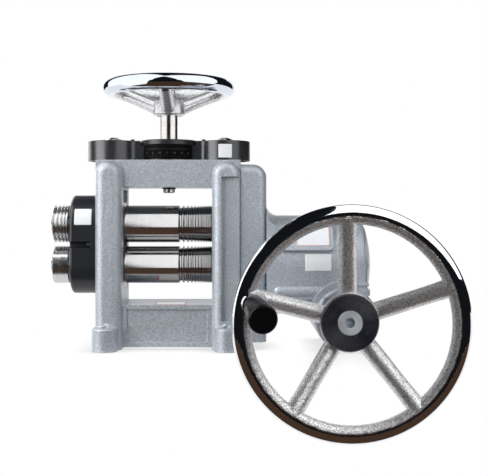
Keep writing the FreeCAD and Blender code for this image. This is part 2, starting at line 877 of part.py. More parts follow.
def gear_case():
    """The dog-bone cover: a lobe over each screw, a web, and a drum under the dial."""
    lobes = [rod(lobe_radius, V(side * screw_x, 0, frame_top), case_height, ALONG_Z) for side in (-1, 1)]
    web = block(-screw_x, screw_x, -web_half_depth, web_half_depth, frame_top, case_top)
    body = fused(lobes + [web])

    def neck(edge):
        upright = runs_along(edge, ALONG_Z) and edge.Length > case_height - 1
        return upright and abs(abs(mid(edge).y) - web_half_depth) < 0.1

    def top_edge(edge):
        return abs(mid(edge).z - case_top) < 0.01

    body = rounded(rounded(body, neck_round, neck), case_edge, top_edge)
    body = body.cut(rod(dial_radius + disc_gap, V(0, 0, frame_top + drum_height), case_height, ALONG_Z))
    body = body.fuse(rod(drum_radius, V(0, 0, frame_top), drum_height, ALONG_Z))
    return body.cut(fused(case_cuts())).removeSplitter()


def case_cuts():
    """The round pockets over the gears, the domes' holes and the screw holes of the gear case."""
    cavity_height = case_height - case_wall
    start_z = frame_top - 1
    cuts = [rod(drum_cavity, V(0, 0, start_z), case_height, ALONG_Z)]
    for side in (-1, 1):
        centre = V(side * screw_x, 0, start_z)
        cuts.append(rod(lobe_cavity, centre, cavity_height + 1, ALONG_Z))
        cuts.append(rod(idler_cavity, V(side * idler_x, 0, start_z), cavity_height + 1, ALONG_Z))
        cuts.append(rod(dome_radius + free, centre, case_height + 10, ALONG_Z))
        for front in (-1, 1):
            hole = V(side * case_screw_x, front * case_screw_y, start_z)
            cuts.append(rod(case_screw_radius + seat, hole, case_height + 10, ALONG_Z))
    return cuts


def case_screws():
    """Button-headed screws that hold the gear case down."""
    screws = []
    bottom = frame_top - case_screw_sink + 0.5
    under = case_top + seat
    top = under + case_screw_height
    for side in (-1, 1):
        for front in (-1, 1):
            centre = V(side * case_screw_x, front * case_screw_y, 0)
            head = shaft([(under, case_screw_head), (top - 1, case_screw_head),
                          (top, case_screw_head - 1.2)], centre, ALONG_Z)
            stem = rod(case_screw_radius, centre + ALONG_Z * bottom, under - bottom + 0.5, ALONG_Z)
            socket = hexagon(case_screw_head * 0.45, centre + ALONG_Z * (top - 1.2), ALONG_Z, 2)
            screws.append(fused([head, stem]).cut(socket))
    return Part.makeCompound(screws)


def index_band():
    """A thin strip round the front of the drum that carries the dial's fixed marks."""
    bottom = frame_top + 1.5
    height = drum_height - 1.5
    inner = drum_radius + seat
    web_angle = math.degrees(math.asin(web_half_depth / drum_radius))
    span = 180 - 2 * web_angle - 4
    band = Part.makeCylinder(inner + band_thickness, height, V(0, 0, bottom), ALONG_Z, span)
    band = band.cut(rod(inner, V(0, 0, bottom - 1), height + 2, ALONG_Z))
    return turned_about(band, V(0, 0, 0), ALONG_Z, -90 - span / 2)


def spindle_bush():
    """The flanged bush that carries the spindle through the upper beam."""
    bottom = frame_top + seat
    top = bottom + 2
    bore = spindle_journal + running
    profile = [(upper_beam_bottom, bore), (upper_beam_bottom, spindle_bush_radius),
               (bottom, spindle_bush_radius), (bottom, spindle_bush_flange),
               (top, spindle_bush_flange), (top, bore)]
    return turned(profile, V(0, 0, 0), ALONG_Z)


def spindle():
    """The spindle from its snap ring under the beam up to the handwheel's nut."""
    clip_z = upper_beam_bottom - 0.3 - clip_thickness
    groove_radius = spindle_journal - clip_groove
    end_z = upper_beam_bottom - spindle_end
    shoulder = frame_top + 2.3
    hub_top = hub_bottom + top_hub_height
    stud_top = hub_top + hub_nut_height - 4
    steps = [(end_z, spindle_journal - 1), (end_z + 1, spindle_journal),
             (clip_z, spindle_journal), (clip_z, groove_radius),
             (clip_z + clip_thickness, groove_radius), (clip_z + clip_thickness, spindle_journal),
             (shoulder, spindle_journal), (shoulder, spindle_gear_seat),
             (dial_bottom, spindle_gear_seat), (dial_bottom, spindle_radius),
             (hub_bottom, spindle_radius), (hub_bottom, hub_seat),
             (hub_top, hub_seat), (hub_top, hub_stud_radius), (stud_top, hub_stud_radius)]
    return shaft(steps, V(0, 0, 0), ALONG_Z)


def spindle_circlip():
    """A snap ring under the upper beam, open at the back."""
    start = V(0, 0, upper_beam_bottom - 0.3 - clip_thickness + seat)
    body = ring(clip_radius, spindle_journal - clip_groove + seat, start, clip_thickness - 2 * seat, ALONG_Z)
    gap = block(-2, 2, 0, clip_radius + 1, upper_beam_bottom - 5, upper_beam_bottom)
    return body.cut(gap)


def dial_disc():
    body = shaft([(dial_bottom, dial_radius - 1), (dial_bottom + 1, dial_radius),
                  (dial_bottom + dial_thickness - 1, dial_radius),
                  (dial_bottom + dial_thickness, dial_radius - 1)], V(0, 0, 0), ALONG_Z)
    return body.cut(rod(spindle_radius + seat, V(0, 0, dial_bottom - 1), dial_thickness + 2, ALONG_Z))


# ---- handwheels --------------------------------------------------------------------------

def oval_rim(centre, axis, ring_radius, half_radial, half_axial):
    """A rim whose section is an oval of four tangent arcs, wider across its face."""
    out = side_of(axis)
    middle = centre + out * ring_radius
    end_radius = half_axial - (half_radial - half_axial) / 2
    shift = half_radial - end_radius
    rise = half_axial - end_radius
    drop = (shift ** 2 - rise ** 2) / (2 * rise)
    reach = math.hypot(shift, drop)
    join_radial = shift + end_radius * shift / reach
    join_axial = end_radius * drop / reach

    def at(radial, axial):
        return middle + out * radial + axis * axial

    arcs = []
    for side in (1, -1):
        tail = at(side * join_radial, -side * join_axial)
        head = at(side * join_radial, side * join_axial)
        arcs.append(Part.Arc(tail, at(side * half_radial, 0), head).toShape())
        far = at(-side * join_radial, side * join_axial)
        arcs.append(Part.Arc(head, at(0, side * half_axial), far).toShape())
    return Part.Face(Part.Wire(arcs)).revolve(centre, axis, 360)


def flared_spoke(start, end, start_radius, waist_radius, end_radius):
    """A round spoke whose ends swell into the hub and the rim."""
    axis = end - start
    length = axis.Length
    axis.normalize()
    out = axis.cross(V(0.3, 0.5, 0.81))
    out.normalize()
    stations = [(0, start_radius), (0.18, (start_radius + 2 * waist_radius) / 3), (0.4, waist_radius),
                (0.68, waist_radius * 0.97), (0.86, (end_radius + 2 * waist_radius) / 3), (1, end_radius)]
    points = [start + axis * (share * length) + out * radius for share, radius in stations]
    curve = Part.BSplineCurve()
    curve.interpolate(points)
    edges = [curve.toShape(), Part.makeLine(points[-1], end), Part.makeLine(end, start),
             Part.makeLine(start, points[0])]
    return Part.Face(Part.Wire(edges)).revolve(start, axis, 360)


def top_handwheel():
    """A dished three-spoke wheel: the hub is low and the rim high."""
    centre = V(0, 0, top_rim_z)
    ring_radius = top_wheel_radius - top_rim_section
    rim = Part.makeTorus(ring_radius, top_rim_section, centre, ALONG_Z)
    hub_top = hub_bottom + top_hub_height
    hub = shaft([(hub_bottom, top_hub_radius - 1), (hub_bottom + 1, top_hub_radius),
                 (hub_top - 3, top_hub_radius - 1), (hub_top, top_hub_radius - 4)], V(0, 0, 0), ALONG_Z)
    pieces = [rim, hub]
    for angle in (-90, 30, 150):
        outwards = polar(1, math.radians(angle))
        inner = outwards * (top_hub_radius - 10) + V(0, 0, hub_bottom + top_hub_height * 0.42)
        outer = outwards * ring_radius + V(0, 0, top_rim_z - 1)
        pieces.append(flared_spoke(inner, outer, top_spoke_root, top_spoke_waist, top_spoke_end))
    body = fused(pieces)
    return body.cut(rod(hub_seat + seat, V(0, 0, hub_bottom - 1), top_hub_height + 2, ALONG_Z))


def handwheel_nut():
    """An acorn nut that holds the top handwheel on its spindle."""
    bottom = hub_bottom + top_hub_height + seat
    top = bottom + hub_nut_height
    radius = hub_nut_radius
    body = shaft([(bottom, radius), (bottom + 2, radius), (bottom + 2, radius - 1.7),
                  (top - 6, radius - 1.7), (top - 2, radius - 4), (top, radius - 8)], V(0, 0, 0), ALONG_Z)
    flats = hexagon(radius, V(0, 0, bottom + 2), ALONG_Z, hub_nut_height / 2)
    bore = rod(hub_stud_radius + seat, V(0, 0, bottom - 1), hub_nut_height - 3, ALONG_Z)
    return body.fuse(flats).removeSplitter().cut(bore)


def crank_wheel():
    """The five-spoke drive wheel; its rim stands forward of its hub."""
    axis_point = V(wheel_x, 0, worm_axis_z)
    half_radial = crank_rim_width / 2
    ring_radius = crank_radius - half_radial
    hub = shaft([(crank_hub_front, crank_hub_radius - 1), (crank_hub_front + 2, crank_hub_radius),
                 (crank_hub_back - 8, crank_hub_radius - 4), (crank_hub_back, crank_hub_radius - 7)],
                axis_point, ALONG_Y)
    body = hub
    for number in range(spoke_count):
        angle = math.radians(spoke_first_angle + number * 360 / spoke_count)
        outwards = V(math.cos(angle), 0, math.sin(angle))
        inner = axis_point + outwards * (worm_shaft_radius + 4) + ALONG_Y * spoke_root_y
        outer = axis_point + outwards * (ring_radius - 1) + ALONG_Y * (crank_rim_y + 1)
        body = body.fuse(flared_spoke(inner, outer, spoke_root, spoke_waist, spoke_end))
    rim = oval_rim(axis_point + ALONG_Y * crank_rim_y, ALONG_Y, ring_radius, half_radial,
                   crank_rim_depth / 2)
    body = body.fuse(rim).fuse(leaned(handle_boss()))
    shaft_hole = rod(worm_shaft_radius + seat, axis_point + ALONG_Y * (crank_hub_front - 1),
                     crank_hub_back - crank_hub_front + 2, ALONG_Y)
    return body.cut(shaft_hole).cut(hub_key(seat)).cut(leaned(handle_tap()))


def handle_axis():
    """The point of the wheel's plane, at Y = 0, that the handle would stand on if it were upright."""
    angle = math.radians(handle_angle)
    return V(wheel_x + handle_reach * math.cos(angle), 0, worm_axis_z + handle_reach * math.sin(angle))


def leaned(shape):
    """Tilts a piece of the handle about its foot, the middle of the lug's face."""
    towards = math.radians(handle_lean_towards)
    hinge = V(-math.sin(towards), 0, math.cos(towards))
    return turned_about(shape, handle_axis() + ALONG_Y * boss_front, hinge, handle_lean)


def handle_boss():
    """The round lug inside the rim that the handle's spindle screws into."""
    radius = handle_boss_radius
    steps = [(boss_front, radius - 5), (crank_rim_y - 7, radius - 3), (crank_rim_y - 3, radius),
             (crank_rim_y + 2, radius), (crank_rim_y + 6, radius - 5)]
    return shaft(steps, handle_axis(), ALONG_Y)


def handle_tap():
    return rod(handle_pin_radius + seat, handle_axis() + ALONG_Y * (boss_front - 1), tap_depth + 1, ALONG_Y)


def handle_spindle():
    """The steel pin of the crank handle, with a collar at the wheel and a head in the grip."""
    head_start = grip_end + 2
    head_end = grip_end + 8
    collar_end = grip_start + free
    steps = [(head_start, handle_pin_head), (head_end, handle_pin_head),
             (head_end, handle_pin_radius), (collar_end, handle_pin_radius),
             (collar_end, handle_pin_collar), (boss_front - seat, handle_pin_collar),
             (boss_front - seat, handle_pin_radius), (boss_front + tap_depth - 1, handle_pin_radius)]
    return leaned(shaft(steps, handle_axis(), ALONG_Y))


def handle_grip():
    """The black grip, which turns on the handle's spindle."""
    outline = [(grip_end, grip_radius - 2.2), (grip_end + 1.5, grip_radius - 0.6),
               (grip_end + 6, grip_radius), (grip_start - 60, grip_radius - 0.4),
               (grip_start - 30, grip_radius - 2.2), (grip_start - 4, handle_pin_radius + 8.5),
               (grip_start, handle_pin_radius + 6.5)]
    body = shaft(outline, handle_axis(), ALONG_Y)
    bore = rod(handle_pin_radius + running, handle_axis() + ALONG_Y * (grip_end + 3),
               grip_start - grip_end, ALONG_Y)
    head_room = rod(handle_pin_head + free, handle_axis() + ALONG_Y * (grip_end + 1.6), 6.8, ALONG_Y)
    return leaned(body.cut(bore).cut(head_room))


def hub_disc():
    """The black disc that covers the hub's face round the shaft's end."""
    centre = V(wheel_x, 0, worm_axis_z)
    front = crank_hub_front - hub_disc_thickness
    back = crank_hub_front - seat
    bore = worm_shaft_radius + seat
    profile = [(front, bore), (front, hub_disc_radius - 1.2), (front + 1.2, hub_disc_radius),
               (back, hub_disc_radius), (back, bore)]
    return turned(profile, centre, ALONG_Y)


def hub_key(play):
    """The key of the crank wheel, half in the shaft and half in the hub."""
    half = key_half_width + play
    top = worm_axis_z + worm_shaft_radius
    return block(wheel_x - half, wheel_x + half, crank_hub_front + 4 - play, crank_hub_back - 3 + play,
                 top - key_depth - play, top + key_rise + play)


# ---- gearbox ---------------------------------------------------------------------------------


def adapter():
    """The casting that joins the gearbox to the right post."""
    depth = adapter_half_depth
    body = block(adapter_left, adapter_right, -depth, depth, adapter_bottom, adapter_top)

    def shoulder(edge):
        right = mid(edge).x > adapter_right - 1
        return runs_along(edge, ALONG_Y) and right and mid(edge).z > adapter_top - 1

    def side_edge(edge):
        outside = abs(abs(mid(edge).y) - depth) < 0.01
        return outside and mid(edge).x > adapter_right - adapter_round and mid(edge).z > adapter_bottom + 1

    body = rounded(body, adapter_round, shoulder)
    body = rounded(body, adapter_edge, side_edge)
    cuts = [block(adapter_left - 1, adapter_right - adapter_wall, -depth + adapter_wall,
                  depth - adapter_wall, adapter_bottom + 52, adapter_top - 50),
            rod(journal_radius + shaft_clearance, V(adapter_left - 1, 0, lower_axis_z),
                adapter_length + 2, ALONG_X)]
    for front in (-1, 1):
        for z in adapter_bolt_z:
            cuts.append(rod(adapter_bolt_radius + seat, V(adapter_left - 1, front * adapter_bolt_y, z),
                            adapter_length + 2, ALONG_X))
            cuts.append(rod(adapter_bolt_head + free,
                            V(adapter_right - adapter_recess, front * adapter_bolt_y, z),
                            adapter_recess + 1, ALONG_X))
    for point in housing_bolt_points():
        hole = V(adapter_right - housing_bolt_sink, point.y, point.z)
        cuts.append(rod(housing_bolt_radius + seat, hole, housing_bolt_sink + 1, ALONG_X))
    return body.cut(fused(cuts))


def housing_bolt_points():
    """Where the housing is screwed to the adapter, round the roll's axis."""
    reach = adapter_half_depth - 9
    points = []
    for angle in housing_bolt_angles:
        around = math.radians(angle)
        y = max(-reach, min(reach, housing_bolt_circle * math.cos(around)))
        points.append(V(0, y, lower_axis_z + housing_bolt_circle * math.sin(around)))
    return points


def socket_screw(start, axis, head_radius, stem_radius, head_height, stem_length):
    """A socket-head screw; start is under its head and axis points along its stem."""
    head = shaft([(-head_height, head_radius - 0.5), (-head_height + 0.5, head_radius), (0, head_radius)],
                 start, axis)
    stem = rod(stem_radius, start - axis * 0.5, stem_length + 0.5, axis)
    socket = hexagon(head_radius * 0.6, start - axis * (head_height + 1), axis, head_height * 0.6 + 1)
    return fused([head, stem]).cut(socket)


def adapter_bolts():
    """Socket screws that hold the adapter to the right post."""
    start_x = adapter_right - adapter_recess + seat
    length = start_x - right_face + adapter_bolt_sink - 1
    screws = []
    for front in (-1, 1):
        for z in adapter_bolt_z:
            screws.append(socket_screw(V(start_x, front * adapter_bolt_y, z), -ALONG_X,
                                       adapter_bolt_head, adapter_bolt_radius, adapter_bolt_head, length))
    return Part.makeCompound(screws)


def housing_bolts():
    """Screws through the housing's left wall into the adapter, reached from inside it."""
    screws = []
    for point in housing_bolt_points():
        start = V(housing_left + flange_thickness + seat, point.y, point.z)
        screws.append(socket_screw(start, -ALONG_X, housing_bolt_head, housing_bolt_radius,
                                   housing_bolt_head, flange_thickness + housing_bolt_sink - 1))
    return Part.makeCompound(screws)


def flare_collar():
    """The hollow-sided collar that spreads from the drum to the adapter."""
    wide = drum_box_radius + flare
    start = housing_left
    end = start + flare
    near = math.sqrt(0.5) * flare
    edges = [Part.Arc(V(start, wide, 0), V(end - near, wide - near, 0), V(end, drum_box_radius, 0)).toShape(),
             Part.makeLine(V(end, drum_box_radius, 0), V(end, 0, 0)),
             Part.makeLine(V(end, 0, 0), V(start, 0, 0)),
             Part.makeLine(V(start, 0, 0), V(start, wide, 0))]
    collar = Part.Face(Part.Wire(edges)).revolve(V(0, 0, 0), ALONG_X, 360)
    collar = moved(collar, V(0, 0, lower_axis_z))
    limits = block(start, end, -adapter_half_depth, adapter_half_depth, sump_bottom, adapter_top)
    return collar.common(limits)


def label_pad():
    """A flat raised pad on the drum, tilted back, with round corners."""
    pad = block(0, label_pad_right - label_pad_left, pad_low, pad_high, 50, pad_face)
    pad = rounded(pad, pad_corner, lambda edge: runs_along(edge, ALONG_Z))
    pad.rotate(V(0, 0, 0), ALONG_X, 90 - pad_tilt)
    pad.translate(V(label_pad_left, 0, lower_axis_z))
    return pad


def tunnel_boss():
    """The thicker upper left root of the worm's tunnel, which runs up into the drum."""
    boss = rod(boss_radius, V(wheel_x, -boss_half, worm_axis_z), 2 * boss_half, ALONG_Y)
    quarter = block(wheel_x - boss_radius, wheel_x, -boss_half, boss_half, worm_axis_z + boss_rise,
                    lower_axis_z)
    return boss.common(quarter)


def sump_ribs():
    """A half-round rib low on each side of the drum, and the lip and ledge at its right end."""
    depth = drum_box_radius + sump_rib
    start = housing_left + flare
    ribs = []
    for front in (-1, 1):
        end = V(start, front * (depth - sump_rib_radius), sump_rib_z)
        ribs.append(rod(sump_rib_radius, end, sump_lip_left + 1 - start, ALONG_X))
        ribs.append(Part.makeSphere(sump_rib_radius, end))
    lip = block(sump_lip_left, sump_lip_end, -depth, depth, sump_lip_bottom, sump_lip_top)
    ribs.append(rounded(lip, sump_lip_edge, lambda edge: mid(edge).x > sump_lip_left + 1))
    ledge = block(sump_lip_left, ledge_end, -depth + 1, depth - 1, ledge_bottom, ledge_top)
    ribs.append(rounded(ledge, ledge_edge, lambda edge: mid(edge).x > sump_lip_left + 1))
    ribs.append(block(sump_lip_left, gearbox_end, -drum_box_radius, drum_box_radius, sump_lip_top - 1,
                      ledge_bottom + 1))
    return ribs


def gearbox_housing():
    drum = shaft([(housing_left, drum_box_radius), (gearbox_end - 5, drum_box_radius),
                  (gearbox_end - 1.5, drum_box_radius - 1.5), (gearbox_end, drum_box_radius - 5)],
                 V(0, 0, lower_axis_z), ALONG_X)
    box = block(housing_left, gearbox_end, -drum_box_radius, drum_box_radius, sump_bottom + 2,
                lower_axis_z)
    tunnel = rod(tunnel_radius, V(wheel_x, -tunnel_half, worm_axis_z), 2 * tunnel_half, ALONG_Y)
    cheek = block(wheel_x - 34, gearbox_end, -drum_box_radius, drum_box_radius, worm_axis_z, sump_bottom + 5)
    body = fused([drum, box, tunnel, cheek, flare_collar(), label_pad(), tunnel_boss()] + sump_ribs())
    return body.cut(fused(housing_cuts()))


def housing_cuts():
    """The bores of the gearbox housing and the holes for what is screwed to it."""
    length = gearbox_end - housing_left + 2
    cuts = [rod(wheel_room, V(wheel_room_left, 0, lower_axis_z), length, ALONG_X),
            rod(journal_radius + shaft_clearance, V(housing_left - 1, 0, lower_axis_z), length, ALONG_X),
            rod(tunnel_bore + seat, V(wheel_x, -tunnel_half - 1, worm_axis_z), 2 * tunnel_half + 2,
                ALONG_Y),
            rod(cover_radius + free, V(gearbox_end, 0, lower_axis_z), cover_rim + cover_dome, ALONG_X)]
    for point in housing_bolt_points():
        cuts.append(rod(housing_bolt_radius + seat, V(housing_left - 1, point.y, point.z),
                        flange_thickness + 2, ALONG_X))
        cuts.append(rod(housing_bolt_head + free, V(housing_left + flange_thickness, point.y, point.z),
                        2 * housing_bolt_head, ALONG_X))
    for point in cover_bolt_points():
        cuts.append(rod(cover_bolt_radius + seat, V(gearbox_end - cover_bolt_sink, point.y, point.z),
                        cover_bolt_sink + 1, ALONG_X))
    for front in (-1, 1):
        for point in cap_bolt_points():
            start = V(point.x, front * (tunnel_half - cap_bolt_sink), point.z)
            cuts.append(rod(cap_bolt_radius + seat, start, cap_bolt_sink + 1, ALONG_Y * front))
    cuts.append(rod(plug_radius + seat, V(wheel_x + plug_x, plug_y, 0), worm_axis_z - 20, ALONG_Z))
    return cuts


def cover_bolt_points():
    circle = cover_radius - cover_bolt_inset
    angles = [math.radians(60 * corner) for corner in range(6)]
    return [V(0, circle * math.cos(a), lower_axis_z + circle * math.sin(a)) for a in angles]


def cap_bolt_points():
    angles = [math.radians(45 + 90 * corner) for corner in range(4)]
    return [V(wheel_x + cap_bolt_circle * math.cos(a), 0, worm_axis_z + cap_bolt_circle * math.sin(a))
            for a in angles]


def gearbox_end_cover():
    """A domed round cover with a boss inside for the output bush."""
    start = gearbox_end + seat
    axis_start = V(start, 0, lower_axis_z)
    ball = (cover_radius ** 2 + cover_dome ** 2) / (2 * cover_dome)
    crown = Part.makeSphere(ball, V(start + cover_rim + cover_dome - ball, 0, lower_axis_z))
    crown = crown.common(rod(cover_radius, axis_start, cover_rim + cover_dome + 1, ALONG_X))
    spigot = rod(wheel_room - 0.1, axis_start - ALONG_X * 5, 5.5, ALONG_X)
    boss = rod(output_bush_radius + 6, V(output_start, 0, lower_axis_z), start - output_start + 0.5,
               ALONG_X)
    body = fused([crown, spigot, boss])
    cuts = [rod(output_bush_radius + seat, V(output_start - 1, 0, lower_axis_z),
                output_end + 2 - output_start, ALONG_X)]
    for point in cover_bolt_points():
        hole = V(start - 1, point.y, point.z)
        cuts.append(rod(cover_bolt_radius + seat, hole, cover_rim + cover_dome, ALONG_X))
        cuts.append(rod(cover_bolt_head + free, hole + ALONG_X * (1 + cover_bolt_recess), cover_dome,
                        ALONG_X))
    return body.cut(fused(cuts))


def end_cover_bolts():
    screws = []
    for point in cover_bolt_points():
        start = V(gearbox_end + 2 * seat + cover_bolt_recess, point.y, point.z)
        screws.append(socket_screw(start, -ALONG_X, cover_bolt_head, cover_bolt_radius,
                                   cover_bolt_height, cover_bolt_recess + cover_bolt_sink - 1))
    return Part.makeCompound(screws)


def output_bush():
    """The bush that carries the lower roll's far end in the end cover."""
    start = V(output_start + 1, 0, lower_axis_z)
    return ring(output_bush_radius, output_journal + running, start, output_end - output_start, ALONG_X)


def worm_wheel():
    """A bronze wheel with slanting teeth that stand over the worm."""
    lead = 2 * math.pi * wheel_radius / math.tan(worm_angle())
    half_twist = 180 * wheel_face / lead
    face = gear_face(wheel_teeth, wheel_radius, wheel_radius + worm_addendum,
                     wheel_radius - worm_addendum - 0.8, math.pi * worm_module / 2 - 0.1, -half_twist)
    teeth = onto_x(screwed_prism(face, wheel_face, lead))
    teeth = moved(teeth, V(wheel_x - wheel_face / 2, 0, lower_axis_z))
    hub = rod(shaft_seat + 10, V(wheel_x - wheel_face / 2 - wheel_hub, 0, lower_axis_z),
              wheel_face + wheel_hub, ALONG_X)
    bore = rod(shaft_seat + seat, V(wheel_x - wheel_face, 0, lower_axis_z), 2 * wheel_face, ALONG_X)
    return fused([teeth, hub]).cut(bore).cut(wheel_key(seat))


def worm_angle():
    """The slope of the worm's thread at its pitch radius."""
    return math.atan(worm_starts * worm_module / (2 * worm_radius))


def wheel_key(play):
    """The parallel key between the lower roll's shaft and the worm wheel."""
    half = key_half_width + play
    left = wheel_x - wheel_face / 2 - wheel_hub + 2
    top = lower_axis_z + shaft_seat
    return block(left - play, wheel_x + wheel_face / 2 + play, -half, half,
                 top - key_depth - play, top + key_rise + play)


def wheel_collar():
    """A clamp collar that keeps the worm wheel against its shoulder."""
    left = wheel_x + wheel_face / 2 + seat
    return ring(shaft_seat + 7, shaft_seat + seat, V(left, 0, lower_axis_z), output_start - left - 1,
                ALONG_X)


def worm_shaft():
    """The crank's shaft, with a many-start worm cut in its middle."""
    lead = worm_starts * math.pi * worm_module
    rise = lead / (2 * math.pi)
    tip = worm_radius + worm_addendum - 0.2
    root = worm_radius - worm_addendum - 1
    half_thickness = math.pi * worm_module / 4 - tooth_play
    slope = math.tan(math.radians(20))

    def half_angle(radius):
        return (half_thickness - (radius - worm_radius) * slope) / rise

    half_turn = 2 * math.pi * (worm_length / 2) / lead
    gap_up = -math.pi / 2 + math.pi / worm_starts
    radii = [root + (tip - root) * share for share in (0, 0.35, 0.7, 1)]
    face = toothed_face(worm_starts, root, radii, half_angle, gap_up - half_turn)
    thread = turned_about(screwed_prism(face, worm_length, lead), V(0, 0, 0), ALONG_X, -90)
    thread = moved(thread, V(wheel_x, -worm_length / 2, worm_axis_z))
    shoulder = root - 0.2
    back_end = tunnel_half - 3
    front_end = crank_hub_front - hub_disc_thickness
    steps = [(front_end, worm_shaft_radius - 0.8), (front_end + 0.8, worm_shaft_radius),
             (-bearing_inner_y + seat, worm_shaft_radius), (-bearing_inner_y + seat, shoulder),
             (bearing_inner_y - seat, shoulder), (bearing_inner_y - seat, worm_shaft_radius),
             (back_end - 1, worm_shaft_radius), (back_end, worm_shaft_radius - 1)]
    body = shaft(steps, V(wheel_x, 0, worm_axis_z), ALONG_Y)
    body = body.fuse(thread).removeSplitter()
    centre_hole = rod(shaft_hole_radius, V(wheel_x, front_end - 1, worm_axis_z), 16, ALONG_Y)
    return body.cut(centre_hole).cut(hub_key(seat))


def worm_bearings():
    """Two sealed ball bearings, each shown as one ring with a groove between its races."""
    rings = []
    for front in (-1, 1):
        start = min(front * bearing_inner_y, front * (bearing_inner_y + bearing_width))
        end = start + bearing_width
        inner = worm_shaft_radius + running
        outer = tunnel_bore - seat
        profile = [(start, inner), (start, inner + 4), (start + 1, inner + 4.5), (start + 1, outer - 4.5),
                   (start, outer - 4), (start, outer), (end, outer), (end, outer - 4),
                   (end - 1, outer - 4.5), (end - 1, inner + 4.5), (end, inner + 4), (end, inner)]
        rings.append(turned(profile, V(wheel_x, 0, worm_axis_z), ALONG_Y))
    return Part.makeCompound(rings)


def worm_caps():
    """The two caps that hold the worm's bearings; the front one lets the shaft through."""
    face_y = tunnel_half + seat
    top_y = face_y + cap_thickness
    spigot = tunnel_half - bearing_cover + seat
    outline = [(spigot, tunnel_bore - 0.1), (face_y, tunnel_bore - 0.1), (face_y, cap_radius),
               (top_y - 2, cap_radius), (top_y, cap_radius - 2)]
    seal_radius = worm_shaft_radius + 6
    bearing_step = worm_shaft_radius + 3
    front = [(spigot, seal_radius)] + outline + [(top_y, seal_radius)]
    back = [(spigot, bearing_step)] + outline + [(top_y, 0), (face_y + 2, 0), (face_y + 2, bearing_step)]
    caps = []
    for side, profile in ((-1, front), (1, back)):
        cap = turned([(side * along, radius) for along, radius in profile],
                     V(wheel_x, 0, worm_axis_z), ALONG_Y)
        for point in cap_bolt_points():
            hole = V(point.x, side * (face_y - 1), point.z)
            cap = cap.cut(rod(cap_bolt_radius + seat, hole, cap_thickness, ALONG_Y * side))
            sink = V(point.x, side * (top_y - cap_bolt_head), point.z)
            cap = cap.cut(rod(cap_bolt_head + free, sink, cap_thickness, ALONG_Y * side))
        caps.append(cap)
    return Part.makeCompound(caps)


def worm_cap_screws():
    screws = []
    under = tunnel_half + 2 * seat + cap_thickness - cap_bolt_head
    for front in (-1, 1):
        for point in cap_bolt_points():
            start = V(point.x, front * under, point.z)
            screws.append(socket_screw(start, ALONG_Y * -front, cap_bolt_head, cap_bolt_radius,
                                       cap_bolt_head - 0.4, under - tunnel_half + cap_bolt_sink - 1))
    return Part.makeCompound(screws)


def shaft_seal():
    """The lip seal in the front cap; its lip just clears the turning shaft."""
    start = V(wheel_x, -tunnel_half - cap_thickness - seat + 0.5, worm_axis_z)
    return ring(worm_shaft_radius + 6 - seat, worm_shaft_radius + 0.1, start, 6, ALONG_Y)


def drain_plug():
    """A hexagon-headed plug under the worm tunnel."""
    bottom = worm_axis_z - tunnel_radius - plug_gap - plug_head
    centre = V(wheel_x + plug_x, plug_y, bottom)
    head = hexagon(plug_hex, centre, ALONG_Z, plug_head)
    stem = rod(plug_radius, centre + ALONG_Z, 12, ALONG_Z)
    return fused([head, stem])


# ---- build -------------------------------------------------------------------------------------

os.makedirs("parts", exist_ok=True)
save("frame", frame())
save("lower_chocks", lower_chocks())
save("upper_chocks", sides_x(upper_chock))
save("lower_bushes", bushes(lower_axis_z))
save("upper_bushes", bushes(upper_axis_z))
save("thrust_pads", thrust_pads())
save("lift_springs", lift_springs())
save("upper_roll", upper_roll())
save("lower_roll", lower_roll())
save("lower_roll_gear", coupling_gear(lower_axis_z, 0))
save("upper_roll_gear", coupling_gear(upper_axis_z, 180 / coupling_teeth))
save("upper_extension_roll", extension_roll(upper_axis_z, half_round_grooves))
save("lower_extension_roll", extension_roll(lower_axis_z, ()))
save("upper_end_screw", end_screw(upper_axis_z))
save("lower_end_screw", end_screw(lower_axis_z))
save("gear_guard", gear_guard())
save("guard_screws", guard_screws())
save("screw_nuts", sides_x(screw_nut))
for side, name in ((-1, "left"), (1, "right")):
    save("adjusting_screw_" + name, adjusting_screw(side))
    save("screw_gear_" + name, top_gear(screw_teeth, screw_seat_radius + seat, screw_gear_bottom,
                                        screw_gear_face, side * screw_x, 180 / screw_teeth))
    save("dome_cap_" + name, dome_cap(side))
    save("idler_gear_" + name, top_gear(idler_teeth, idler_pin_radius + running, idler_bottom,
                                        idler_face, side * idler_x, 0 if side > 0 else 180))
save("idler_pins", idler_pins())
save("gear_case", gear_case())
save("case_screws", case_screws())
save("index_band", index_band())
save("spindle_bush", spindle_bush())
save("spindle", spindle())
save("spindle_gear", top_gear(spindle_teeth, spindle_gear_seat + seat, spindle_gear_bottom,
                              spindle_gear_face, 0, 0))
save("spindle_circlip", spindle_circlip())
save("dial_disc", dial_disc())
save("top_handwheel", top_handwheel())
save("handwheel_nut", handwheel_nut())
save("adapter", adapter())
save("adapter_bolts", adapter_bolts())
save("gearbox_housing", gearbox_housing())
save("housing_bolts", housing_bolts())
save("gearbox_end_cover", gearbox_end_cover())
save("end_cover_bolts", end_cover_bolts())
save("output_bush", output_bush())
save("worm_wheel", worm_wheel())
save("wheel_key", wheel_key(0))
save("wheel_collar", wheel_collar())
save("worm_shaft", worm_shaft())
save("worm_bearings", worm_bearings())
save("worm_caps", worm_caps())
save("worm_cap_screws", worm_cap_screws())
save("shaft_seal", shaft_seal())
save("drain_plug", drain_plug())
save("crank_wheel", crank_wheel())
save("hub_disc", hub_disc())
save("hub_key", hub_key(0))
save("handle_spindle", handle_spindle())
save("handle_grip", handle_grip())
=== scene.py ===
import json
import math

import bmesh
import bpy
from mathutils import Matrix, Vector

